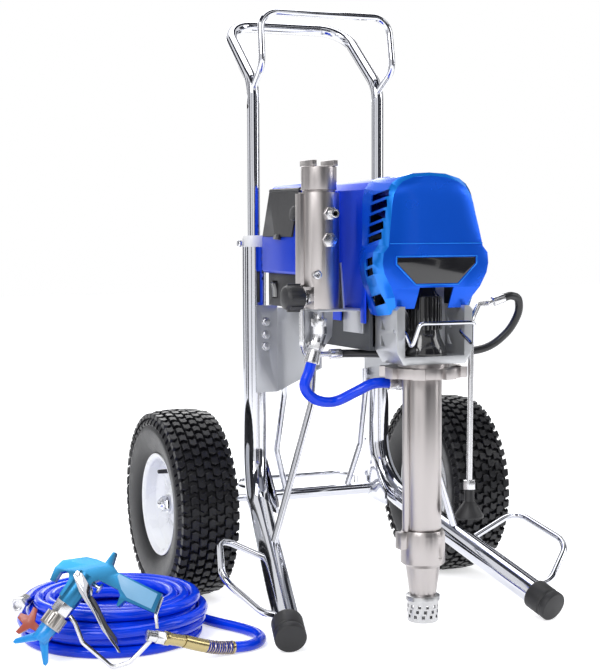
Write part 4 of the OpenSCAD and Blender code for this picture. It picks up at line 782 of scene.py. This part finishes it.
# Thin light-blue tubes round the plate and along the brow crease are painted highlight lines.
plate_outline = ((-0.0700, 0.601), (0.0700, 0.601), (0.0700, 0.589), (0.0368, 0.5572), (-0.0368, 0.5572),
                 (-0.0700, 0.589), (-0.0700, 0.601))
tube_piece("plate_rim_highlight", [Vector((x, -0.4518, z)) for x, z in plate_outline], 0.0011, "cart", "blue_shroud",
           cover_highlight_blue, sides=3)
brow_highlight_line = [Vector((x, -0.4506 - 0.0012 * (1.0 - (x / 0.0815) ** 2), 0.6205))
             for x in (-0.0805, -0.055, -0.0275, 0.0, 0.0275, 0.055, 0.0805)]
tube_piece("brow_highlight_line", brow_highlight_line, 0.0009, "cart", "blue_shroud", cover_highlight_blue, sides=3)
eased("motor_shroud", "rear_shroud_shell", "cart", cover_dark, 0.0012, 3, 24.0, 40.0)
gloss_black = finish("gloss_black_plate", (0.012, 0.012, 0.014), 0.0, 0.16, 0.04, 30.0, 0.0, 400.0, 0.6, 0.2)
eased("panels", "plate_and_window", "cart", gloss_black, 0.0005, 2, 40.0)


# ---------------------------------------------------------------- Control box and switch
# The moulded control box hangs on the shroud's left side, with a hinged black flap over the
# window, a ribbed pressure knob, and a switch housing with its rocker below.
grained_black = finish("grained_black", (0.02, 0.02, 0.023), 0.0, 0.42, 0.07, 60.0, 0.3, 1500.0, 0.0, 0.2)
eased("control_box", "control_box_shell", "cart", cover_dark, 0.0014, 3, 24.0, 40.0)
eased("control_door", "window_flap", "door", grained_black, 0.0008, 2, 40.0)
eased("pressure_knob", "pressure_dial", "knob_pressure", grained_black, 0.0006, 2, 40.0)
eased("switch_housing", "switch_case", "cart", grained_black, 0.0018, 3, 40.0)
eased("power_switch", "rocker_switch", "rocker", gloss_black, 0.0006, 2, 40.0)


# ---------------------------------------------------------------- Pump
# The nickel-plated pump hangs under the drive housing on its big lobed nut. The rod cover
# is black nylon, the strainer is perforated steel, and the wire hook carries the pail.
nickel = finish("nickel_plate", (0.475, 0.445, 0.44), 1.0, 0.33, 0.07, 18.0, 0.03, 900.0, 0.0, 0.05,
                (1.0, 1.0, 0.25))
strainer_plate = finish("strainer_steel", (0.55, 0.55, 0.56), 1.0, 0.34, 0.08, 120.0, 0.1, 900.0, 0.0, 0.08)
# The guard's section, as radius and height.
guard_outline = ((0.037, 0.446), (0.037, 0.4515), (0.034, 0.461), (0.0275, 0.473), (0.0252, 0.483),
                 (0.0252, 0.538), (0.0215, 0.542), (0.019, 0.546), (0.019, 0.566), (0.016, 0.566),
                 (0.016, 0.546), (0.0222, 0.534), (0.0222, 0.446))
guard_corners = len(guard_outline)
rod_guard = mesh_piece("rod_guard_shell", [(p[0], 0.0, p[1]) for p in guard_outline],
                       [(i, (i + 1) % guard_corners) for i in range(guard_corners)], [])
pick(rod_guard)
bpy.ops.object.mode_set(mode="EDIT")
bpy.ops.mesh.select_all(action="SELECT")
bpy.ops.mesh.spin(steps=36, angle=math.radians(180.0), center=(0.0, 0.0, 0.0), axis=(0.0, 0.0, 1.0))
bpy.ops.mesh.select_all(action="SELECT")
bpy.ops.mesh.remove_doubles(threshold=weld)
bpy.ops.mesh.select_all(action="DESELECT")
bpy.ops.mesh.select_non_manifold()
bpy.ops.mesh.fill()
bpy.ops.mesh.select_all(action="SELECT")
bpy.ops.mesh.normals_make_consistent(inside=False)
bpy.ops.object.mode_set(mode="OBJECT")
rod_guard.data.materials.append(gloss_black)
guard_parts = [rod_guard]
rib_count, rib_turn = 13, 13.5
for k in range(rib_count):
    bpy.ops.object.select_all(action="DESELECT")
    bpy.ops.mesh.primitive_cube_add(size=1.0)
    rib = bpy.context.object
    rib.data.transform(Matrix.Rotation(math.radians(-90.0 + (k - rib_count // 2) * rib_turn), 4, "Z")
                       @ Matrix.Translation((0.0267, 0.0, 0.5115))
                       @ Matrix.Diagonal((0.0046, 0.0026, 0.051, 1.0)))
    rib.data.materials.append(gloss_black)
    guard_parts.append(rib)
rod_guard = joined("ribbed_rod_guard", guard_parts)
rod_guard.data.transform(Matrix.Translation((0.0, -0.408, 0.0)))
pick(rod_guard)
soften(rod_guard, 0.0006, 2, 40.0)
bpy.ops.object.shade_smooth_by_angle(angle=math.radians(35.0))
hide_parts("rod_cover")
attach(rod_guard, "cart")
eased("lock_nut", "lobed_lock_nut", "cart", nickel, 0.0014, 3, 40.0)
eased("pump_sleeve", "pump_cylinder", "cart", nickel, 0.0008, 2, 40.0)
eased("intake_housing", "intake_valve_housing", "cart", nickel, 0.0009, 2, 35.0)
eased("strainer", "intake_strainer", "cart", strainer_plate, 0.0004, 1, 40.0)
hook_y, hook_z = -0.436, 0.486
hook_half = [(0.047, hook_y - 0.049, hook_z + 0.014), (0.054, hook_y - 0.036, hook_z - 0.024),
             (0.047, hook_y, hook_z), (0.064, hook_y, hook_z)]
hook_line = rounded(mirrored(hook_half)[::-1] + hook_half, 0.007, 8)
tube_piece("pail_hook_wire", hook_line, 0.003, "hook", "bright_steel", chrome, "pail_hook")


# ---------------------------------------------------------------- Filter and its valves
# The outlet filter stands in a folded bracket beside the drive. Its cap unscrews for the
# element, and a black knob below opens the drain valve.
eased("filter_body", "filter_bowl", "cart", nickel, 0.0009, 3, 40.0)
eased("filter_cap", "filter_top_cap", "cart", nickel, 0.0009, 3, 40.0)
eased("drain_knob", "drain_valve_knob", "knob_drain", grained_black, 0.0012, 2, 35.0)
eased("filter_bracket", "folded_filter_bracket", "cart", sheet_paint, 0.0006, 2, 40.0)
eased("hose_fittings", "fittings_and_plugs", "cart", zinc, 0.0005, 2, 40.0,
      part=lambda p: p.x > hose_side)
eased("hose_crimps", "crimped_sleeves", "cart", zinc, 0.0005, 2, 40.0)


# ---------------------------------------------------------------- Hoses and drain line
# A short blue pressure hose joins the pump to the filter. A black hose and two bent steel
# pipes lead the drain round the front of the housing to a rubber nozzle.
shelf_z, filter_x, filter_y, outlet_z = 0.514, -0.140, -0.322, 0.398
elbow_way = Vector((-0.3, 0.0, -1.0)).normalized()
hose_top = Vector((filter_x, filter_y, shelf_z - 0.036)) + elbow_way * 0.048
outlet_end = Vector((-0.034, -0.352, outlet_z))
pump_route = [(-0.1655, filter_y, 0.396), (-0.1535, filter_y, 0.378), (-0.133, -0.3235, 0.3695),
              (-0.110, -0.326, 0.3705), (-0.084, -0.343, 0.386)]
pump_line = smooth_line([hose_top - elbow_way * 0.004, hose_top + elbow_way * 0.014]
                        + [Vector(p) for p in pump_route]
                        + [outlet_end - Vector((0.026, 0.0, 0.0)), outlet_end + Vector((0.004, 0.0, 0.0))], 8)
tube_piece("pump_to_filter_hose", pump_line, hose_r, "cart", "blue_hose", hose_blue, "pump_hose", sides=7)
black_hose = finish("black_hose_cover", (0.014, 0.014, 0.016), 0.0, 0.34, 0.06, 60.0, 0.1, 900.0, 0.1, 0.2)
drain_a, drain_b = Vector((-0.112, -0.300, 0.443)), Vector((0.152, -0.398, 0.532))
drop_foot = Vector((0.071, -0.430, 0.246))
drain_way = Vector((-12.0, 2.0, -4.0)).normalized()
drain_route = [(-0.052, -0.314, 0.443), (-0.014, -0.344, 0.443), (0.060, -0.353, 0.443),
               (0.130, -0.368, 0.448), (0.166, -0.380, 0.472), (0.183, -0.390, 0.504),
               (0.180, -0.396, 0.528), (0.166, -0.3985, 0.5345)]
drain_line = smooth_line([drain_a + Vector((0.016, 0.0, 0.0)), drain_a + Vector((0.028, 0.0, 0.0))]
                         + [Vector(p) for p in drain_route]
                         + [drain_b - drain_way * 0.002, drain_b + drain_way * 0.004], 8)
tube_piece("drain_hose_run", drain_line, 0.0065, "cart", "black_hose", black_hose, "drain_hose")
pipe_start = drain_b + drain_way * 0.018
pipe_r, side_x, side_y = 0.0045, -0.1655, filter_y + 0.0095
front_line = rounded([pipe_start, pipe_start + drain_way * 0.012, (0.097, -0.411, 0.5225),
                      (0.0735, -0.430, 0.500), drop_foot - Vector((0.0, 0.0, 0.002))], 0.014, 10)
side_line = rounded([(side_x, side_y, 0.522), (side_x, side_y, 0.462), (-0.154, drain_a.y, drain_a.z),
                     drain_a + Vector((0.002, 0.0, 0.0))], 0.010, 8)
pipe_one = tube_piece("drain_pipe_front", front_line, pipe_r, "cart", "bright_steel", zinc)
pipe_two = tube_piece("drain_pipe_side", side_line, pipe_r, "cart", "bright_steel", zinc)
pipes = joined("drain_pipes", [pipe_one, pipe_two])
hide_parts("drain_tubes")
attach(pipes, "cart")
eased("drain_nozzle", "drain_end_nozzle", "cart", foot_rubber, 0.0006, 2, 40.0)


# ---------------------------------------------------------------- Spray gun
# The gun lies on its side against the coil. Its forged body is anodised blue, the grip
# plates, tip guard and spray tip are plastic, and the rest is chromed or plated steel.
gun_blue = finish("anodised_blue", (0.02, 0.17, 0.34), 0.85, 0.36, 0.06, 70.0, 0.05, 900.0, 0.2, 0.1)
grip_blue = finish("grip_plastic", (0.19, 0.42, 0.66), 0.0, 0.4, 0.06, 60.0, 0.1, 900.0, 0.1, 0.05)
guard_blue = finish("guard_plastic", (0.01, 0.30, 0.78), 0.0, 0.25, 0.05, 60.0, 0.05, 900.0, 0.3, 0.06)
tip_brown = finish("tip_plastic", (0.38, 0.06, 0.03), 0.0, 0.36, 0.06, 60.0, 0.05, 900.0, 0.2, 0.08)
eased("gun_body", "gun_forged_body", "cart", gun_blue, 0.0016, 3, 35.0)
eased("gun_fittings", "gun_nuts_and_pipe", "cart", zinc, 0.0005, 2, 40.0)
eased("tip_guard", "winged_tip_guard", "cart", guard_blue, 0.0010, 2, 40.0)
eased("spray_tip", "reversing_tip", "tip", tip_brown, 0.0008, 2, 40.0)
eased("gun_trigger", "trigger_blade", "trigger", chrome, 0.0005, 2, 40.0)
eased("trigger_lock", "trigger_lock_disc", "lock_disc", zinc, 0.0005, 2, 40.0)

spring_steel = finish("spring_wire", (0.42, 0.36, 0.31), 1.0, 0.3, 0.06, 90.0, 0.05, 900.0, 0.0, 0.1)
swivel_way = Vector((0.93, 0.12, -0.27)).normalized()
swivel_at = Vector((-0.4454, -0.4071, 0.0475))
guard_line = smooth_line([swivel_at + swivel_way * 0.050, Vector((-0.372, -0.397, 0.024)),
                          Vector((-0.342, -0.392, 0.015)), guard_end], 16)
wire_r, wire_pitch, wire_out, wire_sides = 0.0011, 0.0040, 0.0093, 16
sleeve_count = 22
sleeve_line, wire_path = guard_line[:sleeve_count + 1], guard_line[sleeve_count:]
wire_line, run = [], 0.0
for here, there in zip(wire_path, wire_path[1:]):
    way = (there - here).normalized()
    side_way = way.cross(Vector((0.0, 0.0, 1.0))).normalized()
    up_way = side_way.cross(way)
    span = (there - here).length
    count = max(2, round(span / wire_pitch * wire_sides))
    for k in range(count):
        round_angle = 2.0 * math.pi * (run + span * k / count) / wire_pitch
        outward = side_way * math.cos(round_angle) + up_way * math.sin(round_angle)
        wire_line.append(here + way * (span * k / count) + outward * wire_out)
    run += span
wound = tube_piece("wound_hose_guard", wire_line, wire_r, "cart", "spring_wire", spring_steel, sides=1)
core = tube_piece("hose_in_guard", guard_line, 0.0083, "cart", "spring_wire", hose_blue, sides=5)
brass = finish("brass", (0.46, 0.38, 0.19), 1.0, 0.26, 0.06, 90.0, 0.05, 900.0, 0.0, 0.06)
long_sleeve = tube_piece("hose_sleeve", sleeve_line, 0.0100, "cart", "spring_wire", brass, sides=7)
end_ring = tube_piece("guard_end_ring", guard_line[-4:], 0.0102, "cart", "spring_wire", brass, sides=7)
guard = joined("wound_hose_guard", [wound, core, long_sleeve, end_ring])
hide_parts("spring_guard")
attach(guard, "cart")


# ---------------------------------------------------------------- Second finishes on moulded and fitted parts
# Parts that are made up of two materials get the second one here: grip plates, trigger pad,
# the nut behind the tip, the hose's ferrule and the display window.
gun_place = (Matrix.Translation((-0.5284, -0.3876, 0.005)) @ Matrix.Rotation(math.radians(-lay), 4, "Z")
             @ Matrix.Rotation(math.radians(70.0), 4, "X") @ Matrix.Translation((-0.0265, 0.1335, 0.0))
             @ Matrix.Rotation(math.radians(55.0), 4, "Z"))
to_gun = gun_place.inverted()


def second_finish(piece, material, chosen):
    """Gives the material to the faces of the piece whose middles are chosen."""
    piece.data.materials.append(material)
    index = len(piece.data.materials) - 1
    for face in piece.data.polygons:
        if chosen(face.center):
            face.material_index = index


smoke = finish("smoke_window", (0.05, 0.056, 0.065), 0.0, 0.12, 0.03, 30.0, 0.0, 400.0, 0.6, 0.1)
tip_nut = finish("plated_tip_nut", (0.42, 0.40, 0.38), 1.0, 0.32, 0.06, 90.0, 0.08, 900.0, 0.0, 0.06)
made = bpy.data.objects
second_finish(made["gun_forged_body"], grip_blue,
              lambda p: abs((to_gun @ p).z) > 0.01115 and -0.118 < (to_gun @ p).y < -0.044)
second_finish(made["trigger_blade"], grained_black,
              lambda p: abs((to_gun @ p).z) < 0.0091 and (to_gun @ p).y < -0.0295)
second_finish(made["gun_nuts_and_pipe"], tip_nut,
              lambda p: (to_gun @ p).x < -0.0605 and (to_gun @ p).y > -0.0235)
second_finish(made["crimped_sleeves"], brass, lambda p: p.x < hose_side)
second_finish(made["plate_and_window"], smoke, lambda p: p.x < -0.09)
